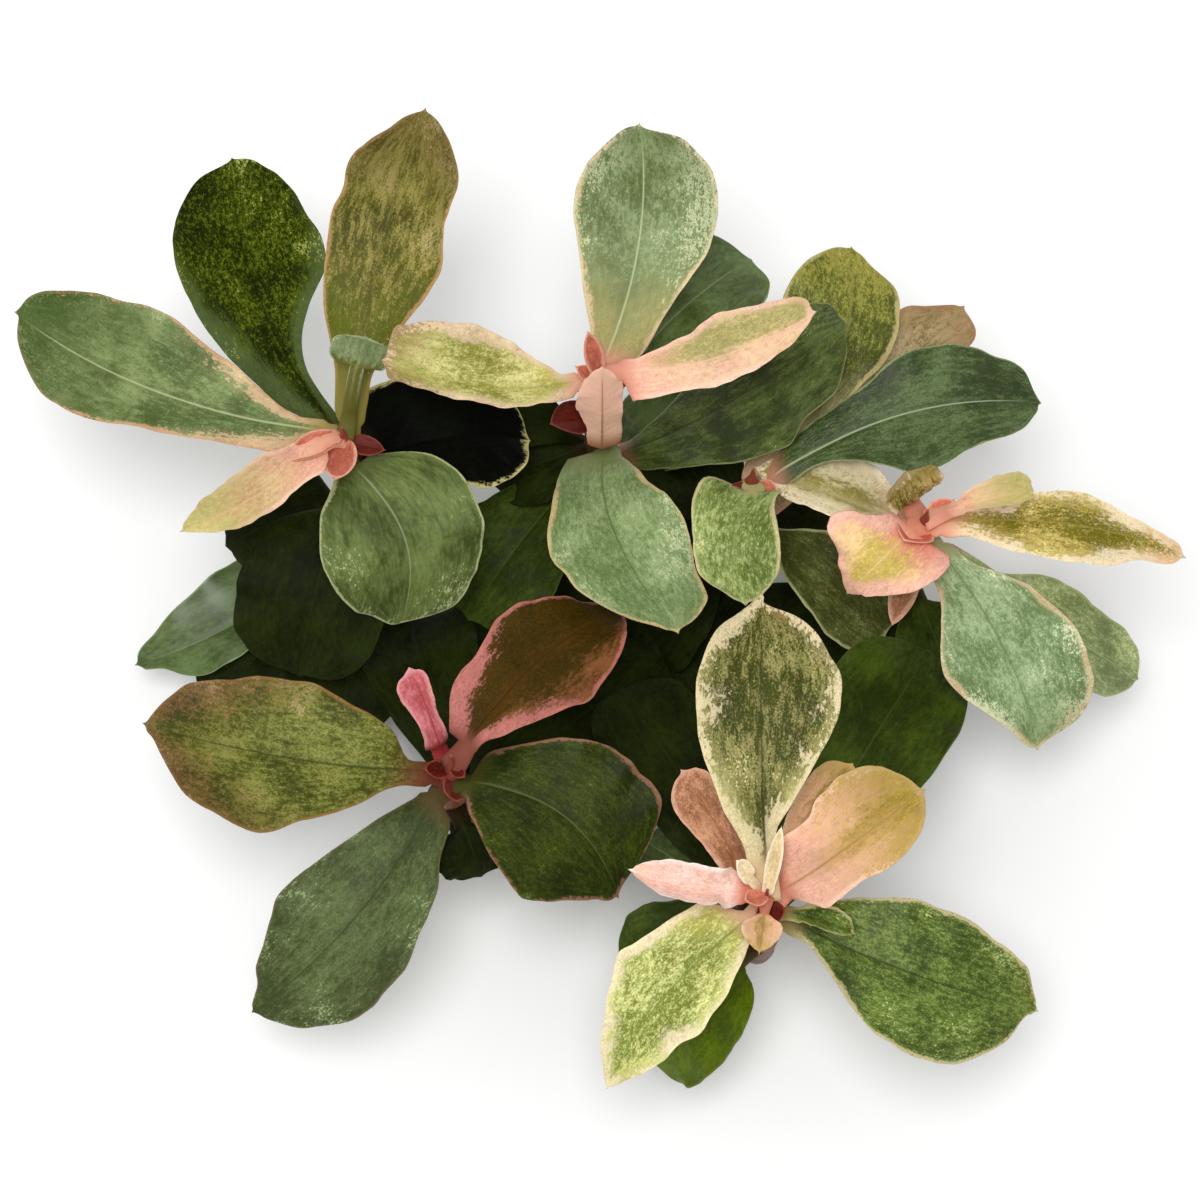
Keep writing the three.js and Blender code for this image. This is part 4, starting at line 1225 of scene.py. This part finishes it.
for index, ((x, y), heading, reach) in enumerate(rootForm["roots"]):
    out = towards(heading)
    start = Vector((x, y, rootForm["heights"][0]))
    bend = start + out * reach * 0.4
    end = start + out * reach
    bend.z, end.z = rootForm["heights"][1:]
    shares = [step / rootForm["steps"] for step in range(rootForm["steps"] + 1)]
    line = [(start * (1 - s) ** 2 + bend * 2 * s * (1 - s) + end * s * s, s) for s in shares]
    piece = makeSweep("root_" + str(index + 1), line, rootRadius, rootForm, index, rootForm["ringed"])
    handOver(piece, "rhizome", "rhizome")
print("stems, rhizome and roots made")


# floor, light and camera
studio = {
    "floorHalf": 2, "floorHeight": -0.0001, "floorTone": 0.9, "floorRough": 0.9, "daylight": 0.72,
    "lampTarget": (0, 0, 0.02),
    "lamps": {  # place, size and power
        "key": ((-0.06, -0.25, 0.96), 0.4, 5.2),
        "side": ((-0.8, 0.1, 0.35), 0.5, 1.2),
    },
}
# the photo's view: the focal length and the picture's width in its pixels, the rest in degrees and millimetres
view = {"elevation": 68, "distance": 420, "target": (0, 0, 22), "focus": 4073.7, "width": 1200, "sensor": 36}


def placed(name, data):
    holder = bpy.data.objects.new(name, data)
    bpy.context.scene.collection.objects.link(holder)
    return holder


half = studio["floorHalf"]
floor = placed("floor", bpy.data.meshes.new("floor"))
corners = [(x, y, studio["floorHeight"]) for x, y in ((-half, -half), (half, -half), (half, half), (-half, half))]
floor.data.from_pydata(corners, [], [(0, 1, 2, 3)])
paper = {"Base Color": (*[studio["floorTone"]] * 3, 1), "Roughness": studio["floorRough"]}
floor.data.materials.append(dressed(newMaterial("floor-paper"), paper))

for name, (place, size, power) in studio["lamps"].items():
    light = bpy.data.lights.new(name, "AREA")
    light.shape = "DISK"
    light.size = size
    light.energy = power
    lamp = placed(name, light)
    lamp.location = place
    lamp.rotation_euler = (Vector(studio["lampTarget"]) - Vector(place)).to_track_quat("-Z", "Y").to_euler()

world = bpy.data.worlds.new("studio")
world.use_nodes = True
background = world.node_tree.nodes["Background"]
background.inputs["Color"].default_value = (1, 1, 1, 1)
background.inputs["Strength"].default_value = studio["daylight"]
bpy.context.scene.world = world
bpy.context.scene.view_settings.view_transform = "Standard"

camera = placed("camera", bpy.data.cameras.new("camera"))
camera.data.lens = view["sensor"] * view["focus"] / view["width"]
camera.data.sensor_width = view["sensor"]
camera.data.clip_start = 0.01
tilt = math.radians(view["elevation"])
lookAt = Vector(view["target"]) * mm
camera.location = lookAt + Vector((0, -math.cos(tilt), math.sin(tilt))) * view["distance"] * mm
camera.rotation_euler = (math.pi / 2 - tilt, 0, 0)
bpy.context.scene.camera = camera
